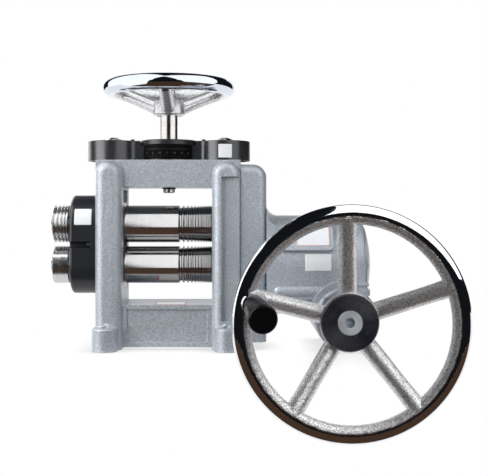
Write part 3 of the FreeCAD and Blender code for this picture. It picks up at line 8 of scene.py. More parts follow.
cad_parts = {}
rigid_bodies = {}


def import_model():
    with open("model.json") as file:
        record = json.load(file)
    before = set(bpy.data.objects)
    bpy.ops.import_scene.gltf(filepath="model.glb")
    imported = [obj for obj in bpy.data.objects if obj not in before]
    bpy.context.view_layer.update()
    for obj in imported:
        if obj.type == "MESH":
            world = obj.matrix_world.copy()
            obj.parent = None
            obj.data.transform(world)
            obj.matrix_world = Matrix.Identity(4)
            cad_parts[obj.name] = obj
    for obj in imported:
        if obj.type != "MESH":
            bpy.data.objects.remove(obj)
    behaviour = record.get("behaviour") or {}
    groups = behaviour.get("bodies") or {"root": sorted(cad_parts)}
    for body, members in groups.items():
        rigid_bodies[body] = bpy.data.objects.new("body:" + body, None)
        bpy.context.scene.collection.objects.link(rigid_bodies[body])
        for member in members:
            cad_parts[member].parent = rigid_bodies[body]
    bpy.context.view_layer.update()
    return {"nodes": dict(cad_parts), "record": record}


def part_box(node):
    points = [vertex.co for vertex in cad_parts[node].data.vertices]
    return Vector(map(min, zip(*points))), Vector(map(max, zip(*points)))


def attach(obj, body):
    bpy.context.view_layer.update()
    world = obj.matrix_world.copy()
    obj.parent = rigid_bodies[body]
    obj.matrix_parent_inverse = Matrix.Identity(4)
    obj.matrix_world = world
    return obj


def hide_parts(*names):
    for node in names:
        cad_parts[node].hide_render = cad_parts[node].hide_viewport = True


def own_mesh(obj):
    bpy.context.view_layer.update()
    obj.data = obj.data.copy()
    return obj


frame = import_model()
nodes = frame["nodes"]


# ---- the studio ----
# The mill stands at the front edge of a white bench, so that its crank wheel can hang
# past the edge.  The rolls, each wheel and the rest have soft lights of their own, and
# dark cloths and a brown floor round the bench give the polished metal its bands.

def put(tree, kind, inputs=None, **settings):
    """Add a node. An input is a number, a colour, or another node's output."""
    node = tree.nodes.new(kind)
    for name, value in settings.items():
        setattr(node, name, value)
    for name, value in (inputs or {}).items():
        if isinstance(value, bpy.types.NodeSocket):
            tree.links.new(value, node.inputs[name])
        else:
            node.inputs[name].default_value = value
    return node


def calc(tree, operation, *values, clamp=False):
    """The output of a Math node."""
    node = put(tree, "ShaderNodeMath", dict(enumerate(values)), operation=operation,
               use_clamp=clamp)
    return node.outputs[0]


def remap(tree, value, low, high, new_low=0.0, new_high=1.0):
    """A value moved from one range to another, and held inside it."""
    inputs = {0: value, 1: low, 2: high, 3: new_low, 4: new_high}
    return put(tree, "ShaderNodeMapRange", inputs).outputs[0]


def show(tree, shader, kind="Material"):
    """Send a shader node to the output of its material or world."""
    put(tree, "ShaderNodeOutput" + kind, {"Surface": shader.outputs[0]})


def shader_by(tree, share, first, second):
    """The first shader where share is 0 and the second where it is 1."""
    return put(tree, "ShaderNodeMixShader",
               {0: share, 1: first.outputs[0], 2: second.outputs[0]})


def empty_material(name):
    """A new material without nodes, and its tree."""
    made = bpy.data.materials.new(name)
    made.use_nodes = True
    made.node_tree.nodes.clear()
    return made, made.node_tree


def set_out(name, data):
    """A new object in the scene, at the origin."""
    made = bpy.data.objects.new(name, data)
    bpy.context.scene.collection.objects.link(made)
    return made


def sheet_of(name, shape, grid, material):
    """An object made of the quads between the rows of a grid of vertices."""
    for low, high in zip(grid, grid[1:]):
        for i in range(len(low) - 1):
            shape.faces.new((low[i], low[i + 1], high[i + 1], high[i]))
    mesh = bpy.data.meshes.new(name)
    shape.to_mesh(mesh)
    shape.free()
    mesh.materials.append(material)
    return set_out(name, mesh)


def sheet_through(name, rows, material):
    """A sheet through rows of points."""
    shape = bmesh.new()
    grid = [[shape.verts.new(point) for point in row] for row in rows]
    return sheet_of(name, shape, grid, material)


STUDIO_MIDDLE = Vector((0.11, 0, 0.16))
CLOTH_DISTANCE = 5.2
CLOTH_COLUMNS, CLOTH_ROWS = 24, 12


def outward(azimuth, elevation):
    """A direction away from the mill. Azimuth 0 is the front and 90 the right."""
    turn, high = math.radians(azimuth), math.radians(elevation)
    return Vector((math.sin(turn) * math.cos(high), -math.cos(turn) * math.cos(high),
                   math.sin(high)))


def studio_cloth(name, azimuths, elevations, colour, strength):
    """A curved cloth round the bench, which only polished metal reflects."""
    material, tree = empty_material(name)
    glow = put(tree, "ShaderNodeEmission", {"Color": (*colour, 1), "Strength": strength})
    show(tree, glow)
    rows = []
    for v in range(CLOTH_ROWS + 1):
        high = elevations[0] + (elevations[1] - elevations[0]) * v / CLOTH_ROWS
        turns = [azimuths[0] + (azimuths[1] - azimuths[0]) * u / CLOTH_COLUMNS
                 for u in range(CLOTH_COLUMNS + 1)]
        rows.append([STUDIO_MIDDLE + CLOTH_DISTANCE * outward(turn, high) for turn in turns])
    panel = sheet_through(name, rows, material)
    panel.visible_camera = False
    panel.visible_diffuse = False
    panel.visible_shadow = False
    panel.visible_transmission = False


NIGHT_BLUE, FLOOR_BROWN = (0.7, 0.8, 1), (0.06, 0.034, 0.021)
studio_cloth("front_cloth", (-150, 150), (-14, 89), NIGHT_BLUE, 0.009)
studio_cloth("back_cloth", (150, 210), (30, 89), NIGHT_BLUE, 0.009)
studio_cloth("room_floor", (-180, 180), (-89, -14), FLOOR_BROWN, 1)

lit_sets = {name: bpy.data.collections.new(name + "_lit")
            for name in ("rolls", "top", "crank", "rest")}


def soft_light(name, lit, azimuth, elevation, wide, high, radiance, distance=2.2):
    """A rectangular light; wide and high are its angles as the mill sees them."""
    lamp = bpy.data.lights.new(name, "AREA")
    lamp.shape = "RECTANGLE"
    lamp.size = 2 * distance * math.tan(math.radians(wide / 2))
    lamp.size_y = 2 * distance * math.tan(math.radians(high / 2))
    lamp.energy = radiance * math.pi * lamp.size * lamp.size_y
    holder = set_out(name, lamp)
    away = outward(azimuth, elevation)
    holder.location = STUDIO_MIDDLE + away * distance
    holder.rotation_euler = away.to_track_quat("Z", "Y").to_euler()
    holder.visible_camera = False
    holder.light_linking.receiver_collection = lit_sets[lit]
    return holder


soft_light("rolls_front", "rolls", azimuth=4, elevation=22.5, wide=31, high=83, radiance=2.2)
floor_glow = soft_light("rolls_floor", "rolls", azimuth=0, elevation=-48, wide=120, high=50,
                        radiance=0.085)
floor_glow.data.color = (1, 0.6, 0.42)
soft_light("top_left", "top", azimuth=-76, elevation=18, wide=92, high=120, radiance=1.3)
soft_light("top_right", "top", azimuth=56, elevation=35, wide=74, high=88, radiance=1.3)
soft_light("crank_left", "crank", azimuth=-112, elevation=17, wide=56, high=55, radiance=1.6)
# the last of the crank wheel's lights hangs level, to the right of it and in front
overhead = soft_light("crank_above", "crank", azimuth=90, elevation=89, wide=118, high=104,
                      radiance=1.5, distance=1.3)
overhead.location = (2.36, -1.2, 1.2)
overhead.rotation_euler = (0, 0, 0)
soft_light("key", "rest", azimuth=-58, elevation=27, wide=44, high=66, radiance=4.2)
soft_light("rim", "rest", azimuth=-132, elevation=20, wide=34, high=60, radiance=2.4)
soft_light("fill", "rest", azimuth=40, elevation=30, wide=54, high=60, radiance=1.7)

# the backdrop is white to look at and in reflections, and gives a little even light
backdrop = bpy.data.worlds.new("white_backdrop")
bpy.context.scene.world = backdrop
backdrop.use_nodes = True
tree = backdrop.node_tree
tree.nodes.clear()
rays = put(tree, "ShaderNodeLightPath").outputs
seen = calc(tree, "MAXIMUM", rays["Is Camera Ray"], rays["Is Glossy Ray"])
seen = calc(tree, "MAXIMUM", seen, rays["Is Transmission Ray"])
fill = put(tree, "ShaderNodeBackground", {"Color": (0.93, 0.96, 1, 1), "Strength": 0.2})
white = put(tree, "ShaderNodeBackground", {"Color": (1, 1, 1, 1), "Strength": 1})
show(tree, shader_by(tree, seen, fill, white), "World")

# so is the bench, with a painted soft shadow where something stands on it: its white glow is
# dimmed where an occlusion test finds something close
bench_paint, tree = empty_material("bench_paint")
rays = put(tree, "ShaderNodeLightPath").outputs
painted_shadow_occlusion = put(tree, "ShaderNodeAmbientOcclusion", {"Distance": 0.035}, samples=8)
# painted shadow: the glow's strength drops from 1 to 0.74 where the occlusion test finds the
# mill close by
shade = remap(tree, painted_shadow_occlusion.outputs["AO"], 0.35, 0.95, 0.74, 1)
white = put(tree, "ShaderNodeEmission", {"Color": (1, 1, 1, 1), "Strength": shade})
surface = put(tree, "ShaderNodeBsdfPrincipled",
              {"Base Color": (0.28, 0.28, 0.28, 1), "Roughness": 0.6})
seen = calc(tree, "MAXIMUM", rays["Is Camera Ray"], rays["Is Glossy Ray"])
show(tree, shader_by(tree, seen, surface, white))

BENCH_FRONT, BENCH_BACK, BENCH_SIDE, BENCH_DROP = -0.088, 6, 6, -1.2
bench_lines = ((BENCH_FRONT, BENCH_DROP), (BENCH_FRONT, 0), (BENCH_BACK, 0))
bench_rows = [[(-BENCH_SIDE, y, z), (BENCH_SIDE, y, z)] for y, z in bench_lines]
sheet_through("bench", bench_rows, bench_paint)

view = bpy.data.cameras.new("camera")
view.lens = 73.3
view.sensor_width = 36
view.shift_y = -0.041
camera = set_out("camera", view)
camera.location = (0.113, -1.5, 0.193)
camera.rotation_euler = (math.radians(90), 0, 0)
bpy.context.scene.camera = camera
bpy.context.scene.view_settings.view_transform = "Standard"


# ---- frame and gearbox castings ----
# Grey iron castings under a thick silver-grey hammer enamel: a skin of small raised
# cells over the slow waves of the sand mould, a little brighter where edges have rubbed.

def new_group(name, inputs, outputs):
    """A shader node group; returns its tree, its inputs and its output node."""
    group = bpy.data.node_groups.new(name, "ShaderNodeTree")
    for label, value in inputs.items():
        kind = "NodeSocketVector" if value is None else "NodeSocketFloat"
        socket = group.interface.new_socket(label, in_out="INPUT", socket_type=kind)
        if value is not None:
            socket.default_value = value
    for label, kind in outputs.items():
        group.interface.new_socket(label, in_out="OUTPUT", socket_type="NodeSocket" + kind)
    return group, put(group, "NodeGroupInput").outputs, put(group, "NodeGroupOutput")


def use(tree, group, **inputs):
    """Place a node group, set its inputs and return its outputs."""
    labelled = {label.replace("_", " "): value for label, value in inputs.items()}
    return put(tree, "ShaderNodeGroup", labelled, node_tree=group).outputs


def place_on(tree):
    """Object coordinates."""
    return put(tree, "ShaderNodeTexCoord").outputs["Object"]


def noise(tree, vector, scale, detail=2.0, roughness=0.5):
    """The value of a Noise Texture at vector."""
    node = put(tree, "ShaderNodeTexNoise", {"Vector": vector, "Scale": scale,
                                            "Detail": detail, "Roughness": roughness})
    return node.outputs["Fac"]


def times(tree, first, second):
    """The product of two values."""
    return calc(tree, "MULTIPLY", first, second)


def mixed_colour(tree, share, first, second):
    """The first colour where share is 0 and the second where it is 1."""
    node = put(tree, "ShaderNodeMix", {0: share, 6: first, 7: second}, data_type="RGBA")
    return node.outputs[2]


def raised(tree, strength, distance, height, **normal):
    """The normal of a surface that height lifts by up to distance."""
    inputs = {"Strength": strength, "Distance": distance, "Height": height, **normal}
    return put(tree, "ShaderNodeBump", inputs).outputs[0]


def surface_of(tree, inputs):
    """Make a material's surface from these inputs."""
    show(tree, put(tree, "ShaderNodeBsdfPrincipled", inputs))


# worn edges: where the surface turns sharply, found by rounding the normal
worn_edges, given, result = new_group("worn_edges", {"Width": 0.0008, "Patchiness": 0.6},
                                      {"Edge": "Float", "Normal": "Vector"})
soft = put(worn_edges, "ShaderNodeBevel", {"Radius": given["Width"]}, samples=6).outputs[0]
flat = put(worn_edges, "ShaderNodeNewGeometry").outputs["Normal"]
alike = put(worn_edges, "ShaderNodeVectorMath", {0: soft, 1: flat},
            operation="DOT_PRODUCT").outputs["Value"]
turn = remap(worn_edges, alike, 0.99, 0.8)
patch = remap(worn_edges, noise(worn_edges, place_on(worn_edges), 140, 4, 0.7), 0.35, 0.65)
kept = times(worn_edges, given["Patchiness"], calc(worn_edges, "SUBTRACT", 1, patch))
edge = calc(worn_edges, "MULTIPLY", turn, calc(worn_edges, "SUBTRACT", 1, kept), clamp=True)
worn_edges.links.new(edge, result.inputs["Edge"])
worn_edges.links.new(soft, result.inputs["Normal"])

# enamel skin: raised cells, the mould's slow waves, and a light and dark fleck
enamel_skin, given, result = new_group(
    "enamel_skin", {"Cell Scale": 800.0},
    {"Height": "Float", "Fleck": "Float", "Cloud": "Float"})
place, cell_scale = place_on(enamel_skin), given["Cell Scale"]
cells = put(enamel_skin, "ShaderNodeTexVoronoi",
            {"Vector": place, "Scale": cell_scale, "Smoothness": 0.7}, feature="SMOOTH_F1")
fine = noise(enamel_skin, place, times(enamel_skin, cell_scale, 2.2), 3, 0.6)
waves = noise(enamel_skin, place, 38, 3, 0.5)
height = calc(enamel_skin, "ADD", times(enamel_skin, cells.outputs["Distance"], -0.9),
              times(enamel_skin, fine, 0.5))
height = calc(enamel_skin, "ADD", height, times(enamel_skin, waves, 2.0))
fleck = noise(enamel_skin, place, times(enamel_skin, cell_scale, 0.85), 2, 0.6)
fleck = remap(enamel_skin, fleck, 0.36, 0.64)
cloud = noise(enamel_skin, place, 9, 3, 0.55)
enamel_skin.links.new(height, result.inputs["Height"])
enamel_skin.links.new(fleck, result.inputs["Fleck"])
enamel_skin.links.new(cloud, result.inputs["Cloud"])


def finish_in(material, *names):
    """Give CAD nodes a finish."""
    for name in names:
        for slot in nodes[name].material_slots:
            slot.material = material


RUBBED_ENAMEL = (0.6, 0.62, 0.63, 1)


def hammer_enamel(name, dark, light, cell_scale):
    """Hammer enamel, flecked with its dark and light tones."""
    made, tree = empty_material(name)
    skin = use(tree, enamel_skin, Cell_Scale=cell_scale)
    worn = use(tree, worn_edges, Width=0.0012, Patchiness=0.8)
    colour = mixed_colour(tree, skin["Fleck"], (*dark, 1), (*light, 1))
    colour = mixed_colour(tree, times(tree, worn["Edge"], 0.35), colour, RUBBED_ENAMEL)
    rough = remap(tree, skin["Cloud"], 0.3, 0.7, 0.32, 0.42)
    lifted = raised(tree, 1, 0.0004, skin["Height"], Normal=worn["Normal"])
    surface_of(tree, {"Base Color": colour, "Metallic": 0.45, "Roughness": rough,
                      "Normal": lifted, "Coat Weight": 0.15, "Coat Roughness": 0.25})
    return made


frame_enamel = hammer_enamel("frame_enamel", dark=(0.35, 0.38, 0.42),
                             light=(0.58, 0.62, 0.675), cell_scale=680)
finish_in(frame_enamel, "frame")
gearbox_enamel = hammer_enamel("gearbox_enamel", dark=(0.35, 0.38, 0.425),
                               light=(0.57, 0.61, 0.67), cell_scale=760)
finish_in(gearbox_enamel, "adapter", "gearbox_housing", "gearbox_end_cover", "worm_caps",
          "worm_cap_screws")


# ---- rolls ----
# Hardened steel rolls, ground and lapped to a mirror.  Only a faint trace of the grinding
# runs round them, with a film of oil that dulls a patch here and there.

def distance_out(tree, vector):
    """The distance from the Z axis, and the height along it."""
    x, y, z = put(tree, "ShaderNodeSeparateXYZ", {0: vector}).outputs
    return calc(tree, "SQRT", calc(tree, "ADD", times(tree, x, x), times(tree, y, y))), z


# turning marks: fine rings round an axis, which lies along the vector's Z
turning_marks, given, result = new_group("turning_marks", {"Vector": None, "Scale": 3000.0},
                                         {"Height": "Float", "Shade": "Float"})
out, along = distance_out(turning_marks, given["Vector"])
ring_place = put(turning_marks, "ShaderNodeCombineXYZ", {0: out, 1: along, 2: 0}).outputs[0]
rings = noise(turning_marks, ring_place, given["Scale"], 3, 0.6)
broad = noise(turning_marks, ring_place, times(turning_marks, given["Scale"], 0.12), 2)
turning_marks.links.new(rings, result.inputs["Height"])
turning_marks.links.new(broad, result.inputs["Shade"])

# handling: smears of oil and fingers, as a share from 0 to 1
handling, given, result = new_group("handling", {"Scale": 30.0}, {"Smear": "Float"})
smear = noise(handling, place_on(handling), given["Scale"], 5, 0.65)
handling.links.new(remap(handling, smear, 0.42, 0.72), result.inputs["Smear"])


MAIN_AXES = {"x": (1, 0, 0), "y": (0, 1, 0), "z": (0, 0, 1)}


def about_axis(tree, centre, axis):
    """Object coordinates from centre, with Z along the axis: a letter or a direction."""
    way = Vector(MAIN_AXES.get(axis, axis))
    turn = way.rotation_difference(Vector((0, 0, 1))).to_euler()
    moved = put(tree, "ShaderNodeVectorMath", {0: place_on(tree), 1: centre},
                operation="SUBTRACT")
    turned = put(tree, "ShaderNodeMapping", {"Vector": moved.outputs[0], "Rotation": turn})
    return turned.outputs[0]


RUBBED_STEEL = (0.9, 0.9, 0.9, 1)


def machined_steel(name, centre, axis, colour, roughness, ring_scale=3000.0,
                   ring_depth=0.00001, edge_width=0.0005, tone_swing=0.08):
    """Bare turned or ground steel, with rings about its own axis."""
    made, tree = empty_material(name)
    marks = use(tree, turning_marks, Vector=about_axis(tree, centre, axis), Scale=ring_scale)
    worn = use(tree, worn_edges, Width=edge_width, Patchiness=0.3)
    smear = use(tree, handling, Scale=34)["Smear"]
    shade = remap(tree, marks["Shade"], 0.3, 0.7, 1 - tone_swing, 1 + tone_swing / 2)
    toned = put(tree, "ShaderNodeVectorMath", {0: colour, "Scale": shade}, operation="SCALE")
    tone = mixed_colour(tree, times(tree, worn["Edge"], 0.5), toned.outputs[0], RUBBED_STEEL)
    rough = remap(tree, smear, 0, 1, roughness, roughness * 1.6 + 0.02)
    lifted = raised(tree, 0.6, ring_depth, marks["Height"], Normal=worn["Normal"])
    surface_of(tree, {"Base Color": tone, "Metallic": 1, "Roughness": rough,
                      "Normal": lifted})
    return made


def moving_joint(name):
    """A joint's row in the part's record."""
    return next(joint for joint in frame["record"]["behaviour"]["joints"]
                if joint["name"] == name)


ROLL_MIDDLES = {row: moving_joint(row + "_roll_turn")["pos_m"] for row in ("lower", "upper")}
MIRROR_STEEL = (0.38, 0.38, 0.385)
for row, middle in ROLL_MIDDLES.items():
    steel = machined_steel(row + "_roll_steel", middle, "x", MIRROR_STEEL, roughness=0.09,
                           ring_scale=2500, ring_depth=0.0000008, edge_width=0.0001,
                           tone_swing=0.02)
    finish_in(steel, row + "_roll")


# ---- roll ends, guard and bearing blocks ----
# Turned extension rolls clamped by round-headed socket screws stand out of a black
# enamelled guard.  The bearing blocks are ground steel with bronze bushes, and most of the
# mill's bolts are blackened.

TURNED_STEEL = (0.62, 0.62, 0.63)
for row, middle in ROLL_MIDDLES.items():
    steel = machined_steel(row + "_end_steel", middle, "x", TURNED_STEEL, roughness=0.2,
                           ring_scale=1800, ring_depth=0.00003)
    finish_in(steel, row + "_extension_roll", row + "_end_screw", row + "_roll_gear")

RUBBED_BLACK = (0.3, 0.3, 0.31, 1)


def satin_black(name, centre, axis, colour, roughness, ring_depth=0.00001, shine=0.5):
    """Black finish over turned metal: an even satin with faint rings and rubbed edges."""
    made, tree = empty_material(name)
    marks = use(tree, turning_marks, Vector=about_axis(tree, centre, axis), Scale=2600)
    worn = use(tree, worn_edges, Width=0.0006, Patchiness=0.9)
    smear = use(tree, handling, Scale=26)["Smear"]
    tone = mixed_colour(tree, times(tree, worn["Edge"], 0.12), (*colour, 1), RUBBED_BLACK)
    rough = remap(tree, smear, 0, 1, roughness, roughness + 0.08)
    lifted = raised(tree, 0.5, ring_depth, marks["Height"], Normal=worn["Normal"])
    surface_of(tree, {"Base Color": tone, "Roughness": rough, "Specular IOR Level": shine,
                      "Normal": lifted})
    return made


MILL_MIDDLE, BETWEEN_BUSHES = (0, 0, 0), (0, 0, 0.15)
guard_enamel = satin_black("guard_enamel", ROLL_MIDDLES["upper"], "x", (0.016, 0.018, 0.022),
                           roughness=0.3)
finish_in(guard_enamel, "gear_guard")
black_oxide = satin_black("black_oxide", MILL_MIDDLE, "z", (0.022, 0.022, 0.024),
                          roughness=0.34)
finish_in(black_oxide, "guard_screws", "case_screws", "adapter_bolts", "housing_bolts",
          "end_cover_bolts", "spindle_circlip")
block_steel = machined_steel("block_steel", MILL_MIDDLE, "y", (0.42, 0.41, 0.4),
                             roughness=0.32, ring_scale=900, ring_depth=0.00004)
finish_in(block_steel, "lower_chocks", "upper_chocks", "thrust_pads")
bronze = machined_steel("bronze", BETWEEN_BUSHES, "x", (0.62, 0.42, 0.2), roughness=0.28,
                        ring_scale=1500, ring_depth=0.00003)
finish_in(bronze, "lower_bushes", "upper_bushes", "screw_nuts", "spindle_bush",
          "output_bush", "worm_wheel")


# ---- lift springs ----
# Four coil springs of blackened wire hold the upper blocks up.  They stand in pockets in
# the lower blocks; in the mill they shorten as the upper blocks come down, but here the
# coils are fixed to the frame and keep their length.

def smooth_faces(mesh):
    """Shade every face of a mesh smooth."""
    for face in mesh.polygons:
        face.use_smooth = True


SAME_POINT = 0.000001
# the coils are the springs' own mesh with its doubled corners merged
shape = bmesh.new()
shape.from_mesh(nodes["lift_springs"].data)
bmesh.ops.remove_doubles(shape, verts=shape.verts, dist=SAME_POINT)
coil_mesh = bpy.data.meshes.new("lift_spring_coils")
shape.to_mesh(coil_mesh)
shape.free()
coil_mesh.materials.append(black_oxide)
for face in coil_mesh.polygons:
    face.material_index = 0
smooth_faces(coil_mesh)
coils = set_out("lift_spring_coils", coil_mesh)
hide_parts("lift_springs")
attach(coils, "root")
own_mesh(coils)


# ---- gear case, dial and adjusting screws ----
# A black cast case over the screwdown gears, with a turned drum, a graduated index band
# round its front and a dial disc above.  Polished domed caps end the adjusting screws.

case_enamel = satin_black("case_enamel", MILL_MIDDLE, "z", (0.02, 0.021, 0.025),
                          roughness=0.27, ring_depth=0.000008, shine=0.9)
finish_in(case_enamel, "gear_case")
dial_black = satin_black("dial_black", MILL_MIDDLE, "z", (0.02, 0.02, 0.022),
                         roughness=0.27, ring_depth=0.00002)
finish_in(dial_black, "dial_disc")
index_black = satin_black("index_black", MILL_MIDDLE, "z", (0.002, 0.002, 0.0025),
                          roughness=0.55, shine=0.06)
finish_in(index_black, "index_band")

BAND_LOW, BAND_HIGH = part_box("index_band")
BAND_RADIUS = -BAND_LOW[1]
TICK_TURN = math.radians(3)
TICK_COUNT = 33
TICK_WIDTH, TICK_DEPTH = 0.0003, 0.00025
FIGURE_SIZE, FIGURE_DEPTH = 0.0042, 0.0001
FIGURES_EACH_SIDE, TICKS_PER_FIGURE = 3, 5


def up_the_band(share):
    """A height on the index band, as a share of the way up it."""
    return BAND_LOW[2] + share * (BAND_HIGH[2] - BAND_LOW[2])


def graduation_paint(name):
    """Thin greyish paint in the marks, worn to almost nothing."""
    made, tree = empty_material(name)
    smear = use(tree, handling, Scale=120)["Smear"]
    tone = mixed_colour(tree, smear, (0.05, 0.053, 0.06, 1), (0.02, 0.02, 0.023, 1))
    rough = remap(tree, smear, 0, 1, 0.45, 0.6)
    lifted = raised(tree, 0.3, 0.00002, noise(tree, place_on(tree), 2500, 2))
    surface_of(tree, {"Base Color": tone, "Roughness": rough, "Normal": lifted})
    return made


def geometry_tree(name, sizes):
    """A Geometry Nodes group with named sizes; returns it, its inputs and its output node."""
    group = bpy.data.node_groups.new(name, "GeometryNodeTree")
    for label, value in sizes.items():
        kind = "NodeSocketInt" if isinstance(value, int) else "NodeSocketFloat"
        socket = group.interface.new_socket(label, in_out="INPUT", socket_type=kind)
        socket.default_value = value
    group.interface.new_socket("Geometry", in_out="OUTPUT", socket_type="NodeSocketGeometry")
    return group, put(group, "NodeGroupInput").outputs, put(group, "NodeGroupOutput")


# a row of upright bars round the front of a drum
tick_row, given, result = geometry_tree("tick_row", {
    "Count": 11, "Turn": 0.1, "Radius": 0.04, "Height": 0.29, "Length": 0.002,
    "Width": TICK_WIDTH})
bars = put(tick_row, "GeometryNodePoints", {"Count": given["Count"]})
order = put(tick_row, "GeometryNodeInputIndex").outputs[0]
middle = times(tick_row, calc(tick_row, "SUBTRACT", given["Count"], 1), 0.5)
angle = times(tick_row, calc(tick_row, "SUBTRACT", order, middle), given["Turn"])
seat = put(tick_row, "ShaderNodeCombineXYZ", {
    0: times(tick_row, calc(tick_row, "SINE", angle), given["Radius"]),
    1: times(tick_row, calc(tick_row, "COSINE", angle), times(tick_row, given["Radius"], -1)),
    2: given["Height"]})
bars = put(tick_row, "GeometryNodeSetPosition", {"Geometry": bars.outputs[0],
                                                 "Position": seat.outputs[0]})
bar_size = put(tick_row, "ShaderNodeCombineXYZ", {0: given["Width"], 1: TICK_DEPTH,
                                                  2: given["Length"]})
bar = put(tick_row, "GeometryNodeMeshCube", {"Size": bar_size.outputs[0]})
turned = put(tick_row, "ShaderNodeCombineXYZ", {2: angle})
bars = put(tick_row, "GeometryNodeInstanceOnPoints", {
    "Points": bars.outputs[0], "Instance": bar.outputs[0], "Rotation": turned.outputs[0]})
bars = put(tick_row, "GeometryNodeRealizeInstances", {0: bars.outputs[0]})
scale_paint = graduation_paint("scale_white")
bars = put(tick_row, "GeometryNodeSetMaterial", {"Geometry": bars.outputs[0],
                                                 "Material": scale_paint})
tick_row.links.new(bars.outputs[0], result.inputs[0])


def grown(name, tree, **sizes):
    """The plain mesh that a Geometry Nodes tree makes with these sizes."""
    holder = set_out(name + "_maker", bpy.data.meshes.new(name))
    maker = holder.modifiers.new("maker", "NODES")
    maker.node_group = tree
    for socket in tree.interface.items_tree:
        if socket.in_out == "INPUT" and socket.name in sizes:
            maker[socket.identifier] = sizes[socket.name]
    ready = holder.evaluated_get(bpy.context.evaluated_depsgraph_get())
    mesh = bpy.data.meshes.new_from_object(ready)
    bpy.data.objects.remove(holder)
    return set_out(name, mesh)


def index_mark(piece):
    """Fix a mark or figure on the index band, which does not turn."""
    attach(piece, "root")


for row, share, count, step, length in (("upper", 0.72, TICK_COUNT, 1, 0.0026),
                                        ("lower", 0.2, TICK_COUNT // 2 + 1, 2, 0.0018)):
    index_mark(grown(row + "_ticks", tick_row, Count=count, Turn=TICK_TURN * step,
                     Radius=BAND_RADIUS, Length=length, Width=TICK_WIDTH,
                     Height=up_the_band(share)))

for number in range(2 * FIGURES_EACH_SIDE + 1):
    text = bpy.data.curves.new("index_number", "FONT")
    text.body = str(number * TICKS_PER_FIGURE)
    text.size = FIGURE_SIZE
    text.align_x = "CENTER"
    text.extrude = FIGURE_DEPTH
    writing = set_out("index_number", text)
    mesh = bpy.data.meshes.new_from_object(writing)
    bpy.data.objects.remove(writing)
    upright = Matrix.Rotation(math.radians(90), 4, "X")
    to_band = Matrix.Translation((0, -BAND_RADIUS, up_the_band(0.36)))
    from_middle = (number - FIGURES_EACH_SIDE) * TICKS_PER_FIGURE * TICK_TURN
    mesh.transform(Matrix.Rotation(from_middle, 4, "Z") @ to_band @ upright)
    mesh.materials.clear()
    mesh.materials.append(scale_paint)
    index_mark(set_out("index_number_%d" % (number + 1), mesh))

for side in ("left", "right"):
    screw_x = moving_joint(side + "_screw_turn")["pos_m"][0]
    steel = machined_steel(side + "_screw_steel", (screw_x, 0, 0), "z", (0.7, 0.7, 0.71),
                           roughness=0.14)
    finish_in(steel, "adjusting_screw_" + side, "dome_cap_" + side, "screw_gear_" + side)
gear_steel = machined_steel("gear_steel", MILL_MIDDLE, "z", (0.45, 0.45, 0.46),
                            roughness=0.3)
finish_in(gear_steel, "idler_gear_left", "idler_gear_right", "idler_pins", "spindle_gear",
          "wheel_key", "hub_key", "worm_bearings", "wheel_collar")
spindle_steel = machined_steel("spindle_steel", MILL_MIDDLE, "z", (0.74, 0.72, 0.7),
                               roughness=0.19)
finish_in(spindle_steel, "spindle")


# ---- wheels ----
# Cast wheels in chrome plate: the grip of each rim is polished to a mirror, and the inner
# side, the arms and the hub keep the sand's grain under the plate.

SAND_LIGHT = (0.97, 0.97, 0.98, 1)


def chrome_wheel(name, centre, axis, polish_radius, grain_scale, grain_depth, pits, plate):
    """Chrome over a casting; pits and plate are the colours inside and outside the polish."""
    made, tree = empty_material(name)
    out = distance_out(tree, about_axis(tree, centre, axis))[0]
    place = place_on(tree)
    ragged = times(tree, calc(tree, "SUBTRACT", noise(tree, place, 60, 4, 0.6), 0.5), 0.004)
    cast = remap(tree, calc(tree, "ADD", out, ragged), polish_radius, polish_radius - 0.0015)
    grain = calc(tree, "ADD", noise(tree, place, grain_scale, 3, 0.65),
                 times(tree, noise(tree, place, grain_scale * 0.25, 2), 0.8))
    worn = use(tree, worn_edges, Width=0.001, Patchiness=0.2)
    smear = use(tree, handling, Scale=22)["Smear"]
    polished = remap(tree, smear, 0, 1, 0.03, 0.08)
    rough = calc(tree, "ADD", polished, times(tree, cast, 0.14))
    lifted = raised(tree, 1, grain_depth, times(tree, grain, cast), Normal=worn["Normal"])
    pitted = remap(tree, noise(tree, place, grain_scale, 2, 0.6), 0.5, 0.56)
    sandy = mixed_colour(tree, pitted, SAND_LIGHT, (*pits, 1))
    metal = calc(tree, "SUBTRACT", 1, times(tree, cast, 0.4))
    colour = mixed_colour(tree, cast, (*plate, 1), sandy)
    surface_of(tree, {"Base Color": colour, "Metallic": metal, "Roughness": rough,
                      "Normal": lifted})
    return made


CRANK_MIDDLE = moving_joint("crank_turn")["pos_m"]
crank_chrome = chrome_wheel("crank_chrome", CRANK_MIDDLE, "y", polish_radius=0.1465,
                            grain_scale=520, grain_depth=0.0006, pits=(0.5, 0.48, 0.47),
                            plate=(0.86, 0.87, 0.89))
finish_in(crank_chrome, "crank_wheel")
top_chrome = chrome_wheel("top_chrome", MILL_MIDDLE, "z", polish_radius=0.0835,
                          grain_scale=900, grain_depth=0.00008, pits=(0.36, 0.37, 0.39),
                          plate=(0.72, 0.76, 0.84))
finish_in(top_chrome, "top_handwheel")
nut_steel = machined_steel("nut_steel", MILL_MIDDLE, "z", (0.8, 0.8, 0.81), roughness=0.1)
finish_in(nut_steel, "handwheel_nut")


# ---- crank hub and handle ----
# The hub is closed by a turned black disc round the grey end of the worm shaft.  The handle
# is a black moulded sleeve that spins on a chromed pin.

